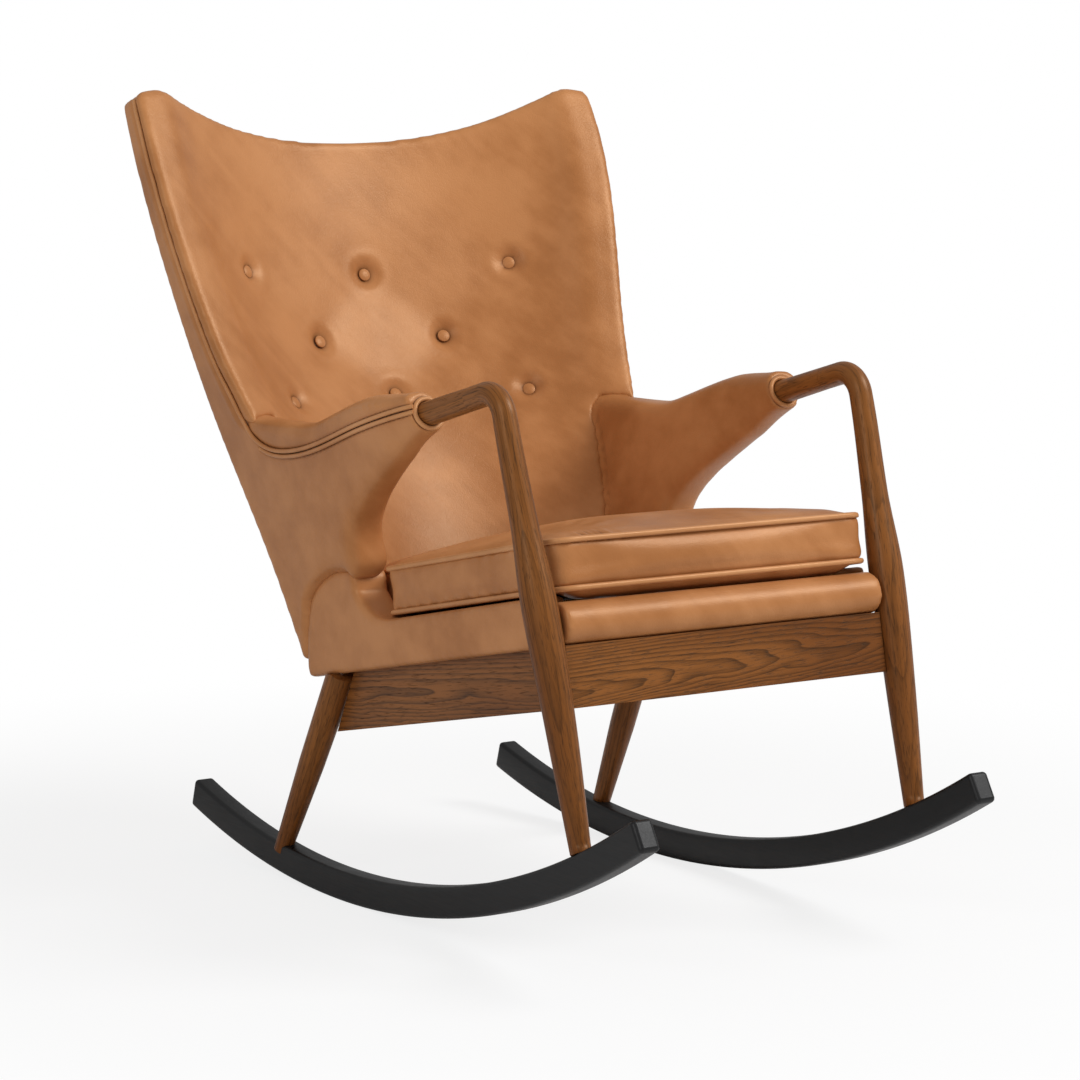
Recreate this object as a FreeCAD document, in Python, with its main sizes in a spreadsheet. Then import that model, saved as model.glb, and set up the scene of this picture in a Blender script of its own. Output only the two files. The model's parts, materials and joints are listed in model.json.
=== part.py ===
import FreeCAD, Part
import math
import os
from types import SimpleNamespace

import Sketcher
from FreeCAD import Placement, Rotation, Vector

# A high-backed wing lounge chair on rockers, in millimetres.
# X runs across the chair, +X to the sitter's left. The front is -Y and +Z is up.
# The origin lies on the floor, on the centre line, where the rockers touch it at rest.

doc = FreeCAD.newDocument("wing_rocker")
sheet = doc.addObject("Spreadsheet::Sheet", "Sizes")

SIZES = {
    # Fits shared by all pieces
    "layer_gap": 0.3,
    "glue_gap": 0.1,
    "overrun": 4,
    "far": 400,
    # Rockers
    "rocker_out": 14,
    "rocker_thick": 29,
    "rocker_depth": 40,
    "rocker_radius": 1338,
    "rocker_front": 681,
    "rocker_rear": 393,
    "rocker_end_round": 12,
    "rocker_edge_bevel": 4,
    # Dowels and screws
    "leg_dowel_dia": 12,
    "leg_dowel_length": 44,
    "apron_dowel_dia": 9,
    "apron_dowel_length": 34,
    "knee_dowel_dia": 10,
    "knee_dowel_length": 44,
    "block_screw_dia": 4.5,
    "block_screw_length": 34,
    "leg_bolt_dia": 8,
    "leg_bolt_length": 60,
    "back_bolt_dia": 8,
    "back_bolt_length": 112,
    "back_bolt_x": 120,
    "back_bolt_y": 56,
    "back_bolt_z": 324,
    "arm_bolt_dia": 8,
    "arm_bolt_length": 150,
    "arm_bolt_out": 1,
    "arm_bolt_y": 15,
    "arm_bolt_z": 402,
    "arm_bolt_lean": 3.7,
    "rail_dowel_dia": 10,
    "rail_dowel_length": 50,
    "rail_dowel_out": 36,
    # Front posts: height, setting back and diameter at each station
    "post_foot_out": 15,
    "post_foot_y": -540,
    "post_calf_out": 20,
    "post_calf_y": -503,
    "post_calf_z": 311,
    "post_seat_out": 25,
    "post_seat_y": -468,
    "post_seat_z": 442,
    "post_neck_out": 28,
    "post_neck_y": -439,
    "post_neck_z": 541,
    "post_foot_dia": 26,
    "post_calf_dia": 38,
    "post_seat_dia": 44,
    "post_neck_dia": 33.5,
    # Knee and arm rail
    "knee_out": 32,
    "knee_y": -395,
    "knee_z": 694.5,
    "knee_bend": 34,
    "knee_dia": 29.5,
    "post_lean": 16.5,
    "rail_fall": 15,
    "rail_joint": 62,
    "rail_end_out": 38,
    "rail_end_y": -167,
    "rail_end_high": 34,
    "rail_end_wide": 31,
    # Rear legs
    "leg_foot_out": 20,
    "leg_foot_y": 152,
    "leg_foot_z": 38,
    "leg_top_out": 4,
    "leg_top_y": 22,
    "leg_top_z": 293.5,
    "leg_foot_dia": 24,
    "leg_top_dia": 39,
    "leg_swell": 1.5,
    # Seat frame, along its own slope
    "seat_pitch": 11.5,
    "seat_front_y": -486,
    "seat_front_z": 396.5,
    "apron_depth": 75,
    "apron_thick": 22,
    "apron_half_span": 238,
    "apron_edge_round": 3,
    "rear_apron_depth": 62,
    "rear_apron_setback": 506,
    "block_leg": 46,
    "block_depth": 50,
    # Leather seat sides with the hump behind the cushion
    "side_overhang": 17,
    "side_thick": 49,
    "side_front": 40,
    "side_high": 59,
    "side_rise_at": 372,
    "hump_foot_at": 414,
    "hump_foot_high": 72,
    "hump_front_at": 441,
    "hump_crest_at": 478,
    "hump_crest_high": 132,
    "hump_back_at": 557,
    "hump_back_high": 101,
    "side_end_at": 584,
    "side_edge_round": 6,
    "seat_rail_thick": 26,
    "seat_rail_low": 6,
    "seat_rail_high": 50,
    # Front roll, webbing and deck
    "roll_side_gap": 1,
    "roll_low": 0.3,
    "roll_high": 51,
    "roll_nose": 11,
    "roll_back": 38,
    "roll_core_wall": 10,
    "strap_width": 46,
    "strap_thick": 3,
    "strap_count": 6,
    "strap_top": 55,
    "deck_thick": 4,
    "deck_rear": 521,
    "rear_rail_front": 486,
    "rear_rail_thick": 26,
    # Seat cushion
    "cushion_side_gap": 0.5,
    "cushion_ear_gap": 8,
    "cushion_front": 4,
    "cushion_ear_at": 396,
    "cushion_rear_corner": 512,
    "cushion_rear_apex": 594,
    "cushion_rear_round": 330,
    "cushion_welt_low": 68,
    "cushion_welt_high": 124,
    "cushion_crown": 26,
    "cushion_belly": 8,
    "cushion_corner": 30,
    "cushion_inner_corner": 14,
    "cushion_draw_in": 4,
    "cushion_cover_wall": 7,
    "welt_set_in": 2,
    "welt_dia": 6,
    # Wing shell
    "pad_share_sides": 0.28,
    "pad_share_middle": 0.46,
    "frame_end_share": 0.74,
    "shell_mean_thick": 60,
    "skin_thick": 8,
    "top_border": 12,
    "frame_border": 10,
    "upright_width": 58,
    "bottom_rail_low": 312,
    "bottom_rail_high": 375,
    "middle_rail_low": 606,
    "middle_rail_high": 666,
    "top_rail_low": 906,
    "back_strap_width": 46,
    "top_tilt": 20,
    "tuft_radius": 46,
    "tuft_depth": 13,
    "tuft_rim_rise": 4,
    "tuft_clear": 30,
    "button_dia": 17,
    "button_thick": 7,
    "wing_edge_round": 6.5,
    # Arms
    "arm_crown_round": 19,
    "arm_inner_round": 26,
    "arm_inner_out": 14,
    "arm_lower_round": 8,
    "arm_frame_thick": 18,
    "arm_frame_lean": 9.6,
    "arm_frame_out": 6,
    "arm_frame_z": 465.5,
    "socket_rim": 5,
}

TABLES = {
    # Wing shell, level sections from the bottom up: height, front and back on the
    # centre line, how far the sides of each come forward, half width past the apron
    "shell_high": (302, 436, 566, 696, 806, 906, 1006, 1066),
    "shell_front": (78, 152, 225, 310, 356, 388, 415, 430),
    "shell_front_fall": (62, 118, 124, 128, 124, 118, 97, 74),
    "shell_back": (132, 218, 304, 364, 409, 441, 470, 476),
    "shell_back_fall": (30, 52, 76, 98, 111, 113, 102, 86),
    "shell_out": (14, 31, 57, 89, 111, 126, 132.5, 131),
    # How far the shell's sides draw in, at three places from rear to front
    "draw_at": (545, 185, -285),
    "draw_in": (20, 0, 17),
    # Top edge of the shell from the middle out to one side: share of the half width, height
    "top_across_share": (0, 0.297, 0.591, 0.81, 0.926, 0.982, 1.012, 1.039),
    "top_high": (966, 970, 986, 1011, 1018, 1007, 981, 936),
    # Arm sections from the socket back: upper and lower point, inner face past the apron
    "arm_top_y": (-224, -185, -115, -55, -23, 5, 45, 115, 190),
    "arm_top_z": (686, 678, 660, 641, 631, 623, 619, 618, 618),
    "arm_low_y": (-253, -210, -133, -73, -51, -55, -5, 60, 95),
    "arm_low_z": (630, 606, 558, 512, 476, 444, 406, 391, 296),
    "arm_low_out": (14, 14, 2, -13, -21, -30, -32, -32, -32),
    # Seam on the arm's outer side, from the socket back and up to the wing
    "seam_y": (-275, -215, -117, -19, 70, 115, 150, 175, 185),
    "seam_z": (676, 658, 630, 599, 582, 584, 602, 646, 686),
    # Board inside the arm
    "board_y": (-166.5, -71, 20, 110, 85, 51, -27, -37, -95, -166.5),
    "board_z": (654, 630, 606, 598, 536, 454, 454, 480, 546, 600),
    # Buttons: across and height
    "button_x": (0, 207, -207, 98, -98, 184, -184, 0),
    "button_z": (790, 803, 803, 705, 705, 633, 633, 632),
}
for stem, values in TABLES.items():
    SIZES.update({f"{stem}_{count}": value for count, value in enumerate(values)})

for row, (alias, value) in enumerate(SIZES.items(), start=1):
    sheet.set(f"A{row}", alias.replace("_", " "))
    sheet.set(f"B{row}", str(value))
    sheet.setAlias(f"B{row}", alias)
doc.recompute()
mm = SimpleNamespace(**{alias: float(sheet.get(alias)) for alias in SIZES})


def table(stem):
    """The values of one table, in order."""
    return [getattr(mm, f"{stem}_{count}") for count in range(len(TABLES[stem]))]



HALF = mm.apron_half_span
SIDE_OUTER = HALF + mm.side_overhang
CUSHION_HALF = HALF - mm.cushion_side_gap
EAR_HALF = SIDE_OUTER - mm.side_thick - mm.cushion_ear_gap
X_AXIS = Vector(1, 0, 0)
Z_AXIS = Vector(0, 0, 1)
SEAT = Placement(
    Vector(0, mm.seat_front_y, mm.seat_front_z), Rotation(X_AXIS, -mm.seat_pitch)
)
kept = []


def keep(piece, label):
    """Gives a piece the name of its node and puts it on the list of files."""
    piece.Label = label
    kept.append(piece)
    return piece


def feature(name, shape):
    """An object with a computed shape."""
    made = doc.addObject("Part::Feature", name)
    made.Shape = shape
    return made


def cut(name, base, *tools):
    """The base less each tool in turn."""
    for count, tool in enumerate(tools):
        made = doc.addObject("Part::Cut", f"{name}_less_{count}")
        made.Base = base
        made.Tool = tool
        base = made
    return base


def group(name, pieces):
    """Several separate solids as one object."""
    made = doc.addObject("Part::Compound", name)
    made.Links = pieces
    return made


def mirrored(name, source):
    """The same piece on the other side of the chair."""
    made = doc.addObject("Part::Mirroring", name)
    made.Source = source
    made.Normal = X_AXIS
    return made


def keep_pair(source, stem):
    """Keeps the piece made on the sitter's left and its mirror image on the right."""
    keep(source, stem + "_left")
    keep(mirrored(stem + "_mirror", source), stem + "_right")


def rod(name, dia_alias, length_alias, middle, direction, swell=None):
    """A round bar, centred on a point, along a direction."""
    made = doc.addObject("Part::Cylinder", name)
    extra = f" + 2 * Sizes.{swell}" if swell else ""
    made.setExpression("Radius", f"(Sizes.{dia_alias}{extra}) / 2")
    made.setExpression("Height", f"Sizes.{length_alias}{extra}")
    length = getattr(mm, length_alias) + (2 * getattr(mm, swell) if swell else 0)
    along = Vector(direction).normalize()
    made.Placement = Placement(middle - along * (length / 2), Rotation(Z_AXIS, along))
    return made


def new_body(name, placement=None):
    """An empty body at its place."""
    body = doc.addObject("PartDesign::Body", name)
    if placement:
        body.Placement = placement
    return body


def sketch_on(body, role, curves):
    """A closed sketch on one of a body's own planes, its curves joined end to end."""
    sketch = body.newObject("Sketcher::SketchObject", body.Name + "_sketch")
    plane = [f for f in body.Origin.OriginFeatures if f.Role == role][0]
    sketch.AttachmentSupport = [(plane, "")]
    sketch.MapMode = "FlatFace"
    sketch.addGeometry(curves, False)
    return sketch


def join_ends(sketch, ends):
    """Ties each listed end of one curve to an end of the next."""
    for first, first_end, second, second_end in ends:
        sketch.addConstraint(
            Sketcher.Constraint("Coincident", first, first_end, second, second_end)
        )


def pad(body, sketch, length_expression):
    """A pad centred on its sketch."""
    made = body.newObject("PartDesign::Pad", body.Name + "_pad")
    made.Profile = sketch
    made.setExpression("Length", length_expression)
    made.Midplane = True
    doc.recompute()
    return made


def polygon(points):
    """Straight curves through the points and back to the first."""
    return [
        Part.LineSegment(Vector(*a), Vector(*b))
        for a, b in zip(points, points[1:] + points[:1])
    ]


def plate(name, outline, length_expression, placement, role="YZ_Plane"):
    """A body with one straight-sided outline, padded to both sides of its plane."""
    body = new_body(name, placement)
    sketch = sketch_on(body, role, polygon([(*point, 0) for point in outline]))
    last = len(outline) - 1
    join_ends(sketch, [(n, 2, n + 1 if n < last else 0, 1) for n in range(len(outline))])
    pad(body, sketch, length_expression)
    return body


def soften_edges(body, kind, size, expression, wanted):
    """Fillets or chamfers the edges of a body's tip that a test picks."""
    tip = body.Tip
    names = [f"Edge{n}" for n, edge in enumerate(tip.Shape.Edges, start=1) if wanted(edge)]
    made = body.newObject("PartDesign::" + kind, body.Name + "_" + kind)
    made.Base = (tip, names)
    made.setExpression(size, expression)
    doc.recompute()
    return made


def seat_place(x=0, y=0, z=0):
    """A place given along the slope of the seat frame."""
    return SEAT.multiply(Placement(Vector(x, y, z), Rotation()))


def seat_point(x, y, z):
    """A point given along the slope of the seat frame."""
    return SEAT.multVec(Vector(x, y, z))


def arc(a, b, c):
    """The edge of the arc through three points."""
    return Part.Arc(Vector(*a), Vector(*b), Vector(*c)).toShape()


def line(a, b):
    """The edge of the straight line between two points."""
    return Part.LineSegment(Vector(*a), Vector(*b)).toShape()


def spline(points):
    """The edge of a smooth curve through the points."""
    curve = Part.BSplineCurve()
    curve.interpolate([Vector(*point) for point in points])
    return curve.toShape()


# Rockers: curved boards with rounded edges, flat on both sides.


def rocker_angle(y):
    """The angle from the rocker's centre of curvature to a point along it."""
    return math.asin(y / mm.rocker_radius)


def rocker_point(angle, radius):
    """A point of the rocker's side, across the floor and up."""
    return (radius * math.sin(angle), mm.rocker_radius - radius * math.cos(angle), 0)


def rocker_top(y):
    """The height of the rocker's upper face."""
    inner = mm.rocker_radius - mm.rocker_depth
    return mm.rocker_radius - math.sqrt(inner**2 - y**2)


def make_rocker():
    inner = mm.rocker_radius - mm.rocker_depth
    front = rocker_angle(-mm.rocker_front)
    rear = rocker_angle(mm.rocker_rear)
    body = new_body("rocker_body", Placement(Vector(HALF + mm.rocker_out, 0, 0), Rotation()))
    points = [
        rocker_point(front, mm.rocker_radius),
        rocker_point(0, mm.rocker_radius),
        rocker_point(rear, mm.rocker_radius),
        rocker_point(rear, inner),
        rocker_point(0, inner),
        rocker_point(front, inner),
    ]
    points = [Vector(*point) for point in points]
    curves = [
        Part.Arc(points[0], points[1], points[2]),
        Part.LineSegment(points[2], points[3]),
        Part.Arc(points[5], points[4], points[3]),
        Part.LineSegment(points[5], points[0]),
    ]
    sketch = sketch_on(body, "YZ_Plane", curves)
    join_ends(sketch, [(0, 2, 1, 1), (1, 2, 2, 2), (2, 1, 3, 1), (3, 2, 0, 1)])
    radius = sketch.addConstraint(Sketcher.Constraint("Radius", 0, mm.rocker_radius))
    sketch.setExpression(f"Constraints[{radius}]", "Sizes.rocker_radius")
    pad(body, sketch, "Sizes.rocker_thick")

    def across(edge):
        ends = edge.Vertexes
        return len(ends) == 2 and abs(ends[0].X - ends[1].X) > mm.rocker_thick / 2

    soften_edges(body, "Fillet", "Radius", "Sizes.rocker_end_round", across)

    def at_side(edge):
        xs = [vertex.X for vertex in edge.Vertexes]
        return max(xs) - min(xs) < mm.layer_gap

    soften_edges(body, "Chamfer", "Size", "Sizes.rocker_edge_bevel", at_side)
    return body


# Limbs: front posts with their knees, arm rails and rear legs.


def oval(centre, along, wide, high):
    """An oval wire square to a direction, wide across the chair."""
    if wide > high:
        curve = Part.Ellipse(Vector(), wide / 2, high / 2)
    elif high > wide:
        curve = Part.Ellipse(Vector(0, high / 2, 0), Vector(wide / 2, 0, 0), Vector())
    else:
        curve = Part.Circle(Vector(), Z_AXIS, wide / 2)
    ring = curve.toShape()
    turn = Rotation(X_AXIS, X_AXIS.cross(along).negative(), Vector(along), "ZXY")
    ring.Placement = Placement(centre, turn)
    return Part.Wire([ring])


def tilt(angle):
    """A direction in the chair's side plane, turned back from straight up."""
    return Vector(0, math.sin(math.radians(angle)), math.cos(math.radians(angle)))


KNEE = Vector(HALF + mm.knee_out, mm.knee_y, mm.knee_z)
POST_UP = tilt(mm.post_lean)
RAIL_BACK = tilt(90 + mm.rail_fall)
KNEE_TURN = 90 + mm.rail_fall - mm.post_lean
KNEE_SETBACK = mm.knee_bend * math.tan(math.radians(KNEE_TURN / 2))
KNEE_START = KNEE - POST_UP * KNEE_SETBACK
KNEE_CENTRE = KNEE_START + tilt(90 + mm.post_lean) * mm.knee_bend


def knee_ring(share):
    """A section of the knee at a share of its bend."""
    angle = mm.post_lean + KNEE_TURN * share
    centre = KNEE_CENTRE - tilt(90 + angle) * mm.knee_bend
    return oval(centre, tilt(angle), mm.knee_dia, mm.knee_dia)


RAIL_JOINT = KNEE + RAIL_BACK * mm.rail_joint
RAIL_END = Vector(
    HALF + mm.rail_end_out,
    mm.rail_end_y,
    mm.knee_z - (mm.rail_end_y - mm.knee_y) * math.tan(math.radians(mm.rail_fall)),
)


POST_STEPS = 12
KNEE_STEPS = 6
LEG_STEPS = 2


def eased(knots, values, at):
    """A value between stations that never overshoots them."""
    slopes = [(b - a) / (q - p) for a, b, p, q in zip(values, values[1:], knots, knots[1:])]
    ends = [slopes[0]]
    for before, after in zip(slopes, slopes[1:]):
        same = before * after > 0
        ends.append(2 * before * after / (before + after) if same else 0)
    ends.append(slopes[-1])
    span = max(n for n in range(len(slopes)) if knots[n] <= at or n == 0)
    width = knots[span + 1] - knots[span]
    t = (at - knots[span]) / width
    left = values[span] + width * t * ends[span]
    drop = values[span + 1] - values[span]
    bend = 3 * drop - width * (2 * ends[span] + ends[span + 1])
    turn = width * (ends[span] + ends[span + 1]) - 2 * drop
    return left + t * t * bend + t * t * t * turn


def make_post():
    foot_z = rocker_top(mm.post_foot_y) - mm.rocker_edge_bevel
    foot = Vector(HALF + mm.post_foot_out, mm.post_foot_y, foot_z)
    calf = Vector(HALF + mm.post_calf_out, mm.post_calf_y, mm.post_calf_z)
    seat = Vector(HALF + mm.post_seat_out, mm.post_seat_y, mm.post_seat_z)
    neck = Vector(HALF + mm.post_neck_out, mm.post_neck_y, mm.post_neck_z)
    line_points = [foot, calf, seat, neck, KNEE_START]
    dias = [mm.post_foot_dia, mm.post_calf_dia, mm.post_seat_dia, mm.post_neck_dia, mm.knee_dia]
    centre = Part.BSplineCurve()
    centre.interpolate(line_points, InitialTangent=calf - foot, FinalTangent=POST_UP)
    knots = [centre.length(0, centre.parameter(point)) for point in line_points[1:]]
    knots = [0] + knots
    rings = []
    for step in range(POST_STEPS):
        run = knots[-1] * step / POST_STEPS
        at = centre.parameterAtDistance(run)
        dia = eased(knots, dias, run)
        rings.append(oval(centre.value(at), Vector(*centre.tangent(at)[0]), dia, dia))
    rings += [knee_ring(step / KNEE_STEPS) for step in range(KNEE_STEPS + 1)]
    rings.append(oval(RAIL_JOINT, RAIL_BACK, mm.knee_dia, mm.knee_dia))
    return feature("post_blank", Part.makeLoft(rings, True, True))


def make_rail(name, grow=0):
    """The show-wood arm rail, or with growth the room that it needs."""
    start = RAIL_JOINT + RAIL_BACK * mm.glue_gap
    middle = (start + RAIL_END) / 2
    middle_high = (mm.knee_dia + mm.rail_end_high) / 2
    middle_wide = (mm.knee_dia + mm.rail_end_wide) / 2
    end = RAIL_END + RAIL_BACK * grow
    rings = [
        oval(start, RAIL_BACK, mm.knee_dia + 2 * grow, mm.knee_dia + 2 * grow),
        oval(middle, RAIL_BACK, middle_wide + 2 * grow, middle_high + 2 * grow),
        oval(end, RAIL_BACK, mm.rail_end_wide + 2 * grow, mm.rail_end_high + 2 * grow),
    ]
    return feature(name, Part.makeLoft(rings, True, True))


LEG_FOOT = Vector(HALF + mm.leg_foot_out, mm.leg_foot_y, mm.leg_foot_z)
LEG_TOP = Vector(HALF + mm.leg_top_out, mm.leg_top_y, mm.leg_top_z)
LEG_UP = (LEG_TOP - LEG_FOOT).normalize()
LEG_LENGTH = (LEG_TOP - LEG_FOOT).Length


def make_leg():
    """A turned leg that tapers to its foot with a slight swell, turned from short straight runs."""
    body = new_body("leg_body", Placement(LEG_FOOT, Rotation(Z_AXIS, LEG_UP)))
    foot = mm.leg_foot_dia / 2
    top = mm.leg_top_dia / 2
    outline = [(0, 0)]
    for step in range(LEG_STEPS + 1):
        share = step / LEG_STEPS
        swell = 4 * share * (1 - share) * mm.leg_swell
        outline.append((foot + (top - foot) * share + swell, LEG_LENGTH * share))
    outline.append((0, LEG_LENGTH))
    sketch = sketch_on(body, "XZ_Plane", polygon([(*point, 0) for point in outline]))
    last = len(outline) - 1
    join_ends(sketch, [(n, 2, n + 1 if n < last else 0, 1) for n in range(len(outline))])
    turned = body.newObject("PartDesign::Revolution", "leg_turned")
    turned.Profile = sketch
    turned.ReferenceAxis = (sketch, ["V_Axis"])
    turned.Angle = 360
    doc.recompute()
    return body


rocker_blank = make_rocker()
post_blank = make_post()
leg_blank = make_leg()

post_foot = Vector(HALF + mm.post_foot_out, mm.post_foot_y, rocker_top(mm.post_foot_y))
post_rise = Vector(
    mm.post_calf_out - mm.post_foot_out,
    mm.post_calf_y - mm.post_foot_y,
    mm.post_calf_z - rocker_top(mm.post_foot_y),
).normalize()
leg_meets = LEG_FOOT + LEG_UP * ((rocker_top(mm.leg_foot_y) - mm.leg_foot_z) / LEG_UP.z)


def foot_dowels(name, swell=None):
    """The dowels of one side that pin a post and a leg to the rocker."""
    return group(
        name,
        [
            rod(name + "_front", "leg_dowel_dia", "leg_dowel_length", post_foot, post_rise, swell),
            rod(name + "_rear", "leg_dowel_dia", "leg_dowel_length", leg_meets, LEG_UP, swell),
        ],
    )


foot_pins = foot_dowels("foot_pins")
foot_bores = foot_dowels("foot_bores", "glue_gap")
keep_pair(cut("rocker", rocker_blank, foot_bores), "rocker")
keep(group("foot_dowels_all", [foot_pins, mirrored("foot_pins_mirror", foot_pins)]), "rocker_dowels")

# Seat frame: aprons, corner blocks and what pins them together.

apron_middle = -mm.apron_depth / 2


def make_front_apron():
    return plate(
        "front_apron_body",
        [
            (mm.layer_gap, 0),
            (mm.apron_thick, 0),
            (mm.apron_thick, -mm.apron_depth),
            (mm.layer_gap, -mm.apron_depth),
        ],
        "2 * Sizes.apron_half_span",
        SEAT,
    )


apron_pin_heights = (-mm.apron_depth / 4, -mm.apron_depth * 3 / 4)


def apron_pins(name, swell=None):
    """Two dowels through each end of the front apron into a post."""
    pins = []
    for count, z in enumerate(apron_pin_heights):
        for sign in (1, -1):
            middle = seat_point(sign * mm.apron_half_span, mm.apron_thick / 2, z)
            pins.append(
                rod(
                    f"{name}_{count}_{'right' if sign < 0 else 'left'}",
                    "apron_dowel_dia",
                    "apron_dowel_length",
                    middle,
                    X_AXIS,
                    swell,
                )
            )
    return group(name, pins)


apron_dowels = apron_pins("apron_pins")
apron_bores = apron_pins("apron_bores", "glue_gap")
rail_pin_middle = Vector(HALF + mm.rail_dowel_out, RAIL_END.y, RAIL_END.z)
rail_pin = rod("rail_pin", "rail_dowel_dia", "rail_dowel_length", rail_pin_middle, RAIL_BACK)
rail_pin_bore = rod(
    "rail_pin_bore", "rail_dowel_dia", "rail_dowel_length", rail_pin_middle, RAIL_BACK, "glue_gap"
)
knee_pin_middle = RAIL_JOINT
knee_pin = rod("knee_pin", "knee_dowel_dia", "knee_dowel_length", knee_pin_middle, RAIL_BACK)
knee_bore = rod(
    "knee_bore", "knee_dowel_dia", "knee_dowel_length", knee_pin_middle, RAIL_BACK, "glue_gap"
)
rail_blank = make_rail("rail_blank")
keep_pair(cut("post", post_blank, rocker_blank, foot_bores, apron_bores, knee_bore), "front_post")
keep_pair(cut("rail", rail_blank, knee_bore, rail_pin_bore), "arm_rail")
keep(group("rail_pins_all", [rail_pin, mirrored("rail_pin_mirror", rail_pin)]), "rail_dowels")
keep(group("knee_pins_all", [knee_pin, mirrored("knee_pin_mirror", knee_pin)]), "knee_dowels")
keep(apron_dowels, "apron_dowels")

leg_top_seat = SEAT.inverse().multVec(LEG_TOP)
leg_foot_seat = SEAT.inverse().multVec(LEG_FOOT)
leg_slant = (leg_foot_seat.y - leg_top_seat.y) / (leg_foot_seat.z - leg_top_seat.z)
leg_half_slanted = mm.leg_top_dia / 2 * math.sqrt(1 + leg_slant**2)


def leg_front(z):
    """How far along the seat the front of the rear leg lies at a height."""
    return leg_top_seat.y + leg_slant * (z - leg_top_seat.z) - leg_half_slanted - mm.layer_gap


side_apron_x = mm.apron_half_span - mm.apron_thick / 2
side_apron = plate(
    "side_apron_body",
    [
        (mm.apron_thick + mm.glue_gap, 0),
        (leg_front(0), 0),
        (leg_front(-mm.apron_depth), -mm.apron_depth),
        (mm.apron_thick + mm.glue_gap, -mm.apron_depth),
    ],
    "Sizes.apron_thick",
    seat_place(side_apron_x),
)

rear_apron_half = mm.apron_half_span - mm.apron_thick - mm.glue_gap
rear_apron = plate(
    "rear_apron_body",
    [
        (mm.rear_apron_setback - mm.apron_thick, 0),
        (mm.rear_apron_setback, 0),
        (mm.rear_apron_setback, -mm.rear_apron_depth),
        (mm.rear_apron_setback - mm.apron_thick, -mm.rear_apron_depth),
    ],
    "2 * (Sizes.apron_half_span - Sizes.apron_thick - Sizes.glue_gap)",
    SEAT,
)


def corner_block(name, y, away):
    """A triangular block in a corner, running away from the apron along the seat."""
    x = rear_apron_half
    outline = [
        (x, y + away * mm.glue_gap),
        (x - mm.block_leg, y + away * mm.glue_gap),
        (x, y + away * mm.block_leg),
    ]
    middle = -mm.block_depth / 2 - mm.glue_gap
    return plate(name, outline, "Sizes.block_depth", seat_place(0, 0, middle), "XY_Plane")


rear_apron_front = mm.rear_apron_setback - mm.apron_thick
front_block = corner_block("front_block", mm.apron_thick, 1)
rear_block = corner_block("rear_block", rear_apron_front, -1)


def block_screws(name, swell=None):
    """Two screws in each block of one side, square to its long face."""
    made = []
    for end, y, away in (("front", mm.apron_thick, 1), ("rear", rear_apron_front, -1)):
        for count, high_share in enumerate((0.3, 0.7)):
            face = seat_point(
                rear_apron_half - mm.block_leg / 2,
                y + away * (mm.block_leg + mm.glue_gap) / 2,
                -mm.block_depth * high_share,
            )
            into = SEAT.Rotation.multVec(Vector(1, -away, 0)).normalize()
            shank = rod(
                f"{name}_{end}_{count}",
                "block_screw_dia",
                "block_screw_length",
                face + into * (mm.block_screw_length / 2),
                into,
                swell,
            )
            made.append(shank)
    return group(name, made)


screws_left = block_screws("screws_left")
screw_bores = block_screws("screw_bores", "glue_gap")
all_screw_bores = group("all_screw_bores", [screw_bores, mirrored("bores_mirror", screw_bores)])
keep(cut("front_apron", make_front_apron(), apron_bores, all_screw_bores), "front_apron")
keep_pair(cut("side_apron", side_apron, screw_bores), "side_apron")
keep(cut("rear_apron", rear_apron, all_screw_bores), "rear_apron")
front_block_cut = cut("front_block_drilled", front_block, screw_bores)
rear_block_cut = cut("rear_block_drilled", rear_block, screw_bores)
blocks_left = group("blocks_left", [front_block_cut, rear_block_cut])
keep(group("blocks_all", [blocks_left, mirrored("blocks_mirror", blocks_left)]), "corner_blocks")
keep(group("screws_all", [screws_left, mirrored("screws_mirror", screws_left)]), "block_screws")

# Leather seat sides: a low padded side that rises into a hump behind the cushion.


def side_outline(grow):
    """The seat side's outline in the side plane, or with growth the room that it needs."""
    front = mm.side_front
    low = mm.layer_gap - grow
    high = mm.side_high + grow
    end = mm.side_end_at + grow
    foot_z = mm.hump_foot_high + grow
    front_y = mm.hump_front_at - grow
    crest_z = mm.hump_crest_high + grow
    back = (mm.hump_back_at + grow, mm.hump_back_high + grow)
    shoulder_z = (mm.hump_foot_high + mm.hump_crest_high) / 2
    front_top_z = crest_z - mm.side_edge_round / 2
    front_top_y = mm.hump_front_at + mm.side_edge_round
    rise_middle = (mm.side_rise_at + mm.hump_foot_at) / 2
    rise_middle_z = (high + foot_z) / 2 - mm.side_edge_round / 2
    end_middle = (end + back[0]) / 2 + mm.side_edge_round
    crest_middle = (mm.hump_crest_at + mm.hump_back_at) / 2 + mm.side_edge_round
    crest_middle_z = (crest_z + back[1]) / 2 + mm.side_edge_round
    foot = (mm.hump_foot_at, foot_z)
    step = (front_y, shoulder_z)
    step_middle = ((foot[0] + step[0]) / 2 + mm.side_edge_round / 2, (foot_z + shoulder_z) / 2)
    top = (front_top_y, front_top_z)
    crest = (mm.hump_crest_at, crest_z)
    return [
        ("line", (front, low), (end, low)),
        ("arc", (end, low), (end_middle, (low + back[1]) / 2), back),
        ("arc", back, (crest_middle, crest_middle_z), crest),
        ("line", crest, top),
        ("arc", top, (front_y, (front_top_z + shoulder_z) / 2 + mm.side_edge_round), step),
        ("arc", step, step_middle, foot),
        ("arc", foot, (rise_middle, rise_middle_z), (mm.side_rise_at, high)),
        ("line", (mm.side_rise_at, high), (front, high)),
        ("line", (front, high), (front, low)),
    ]


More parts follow.
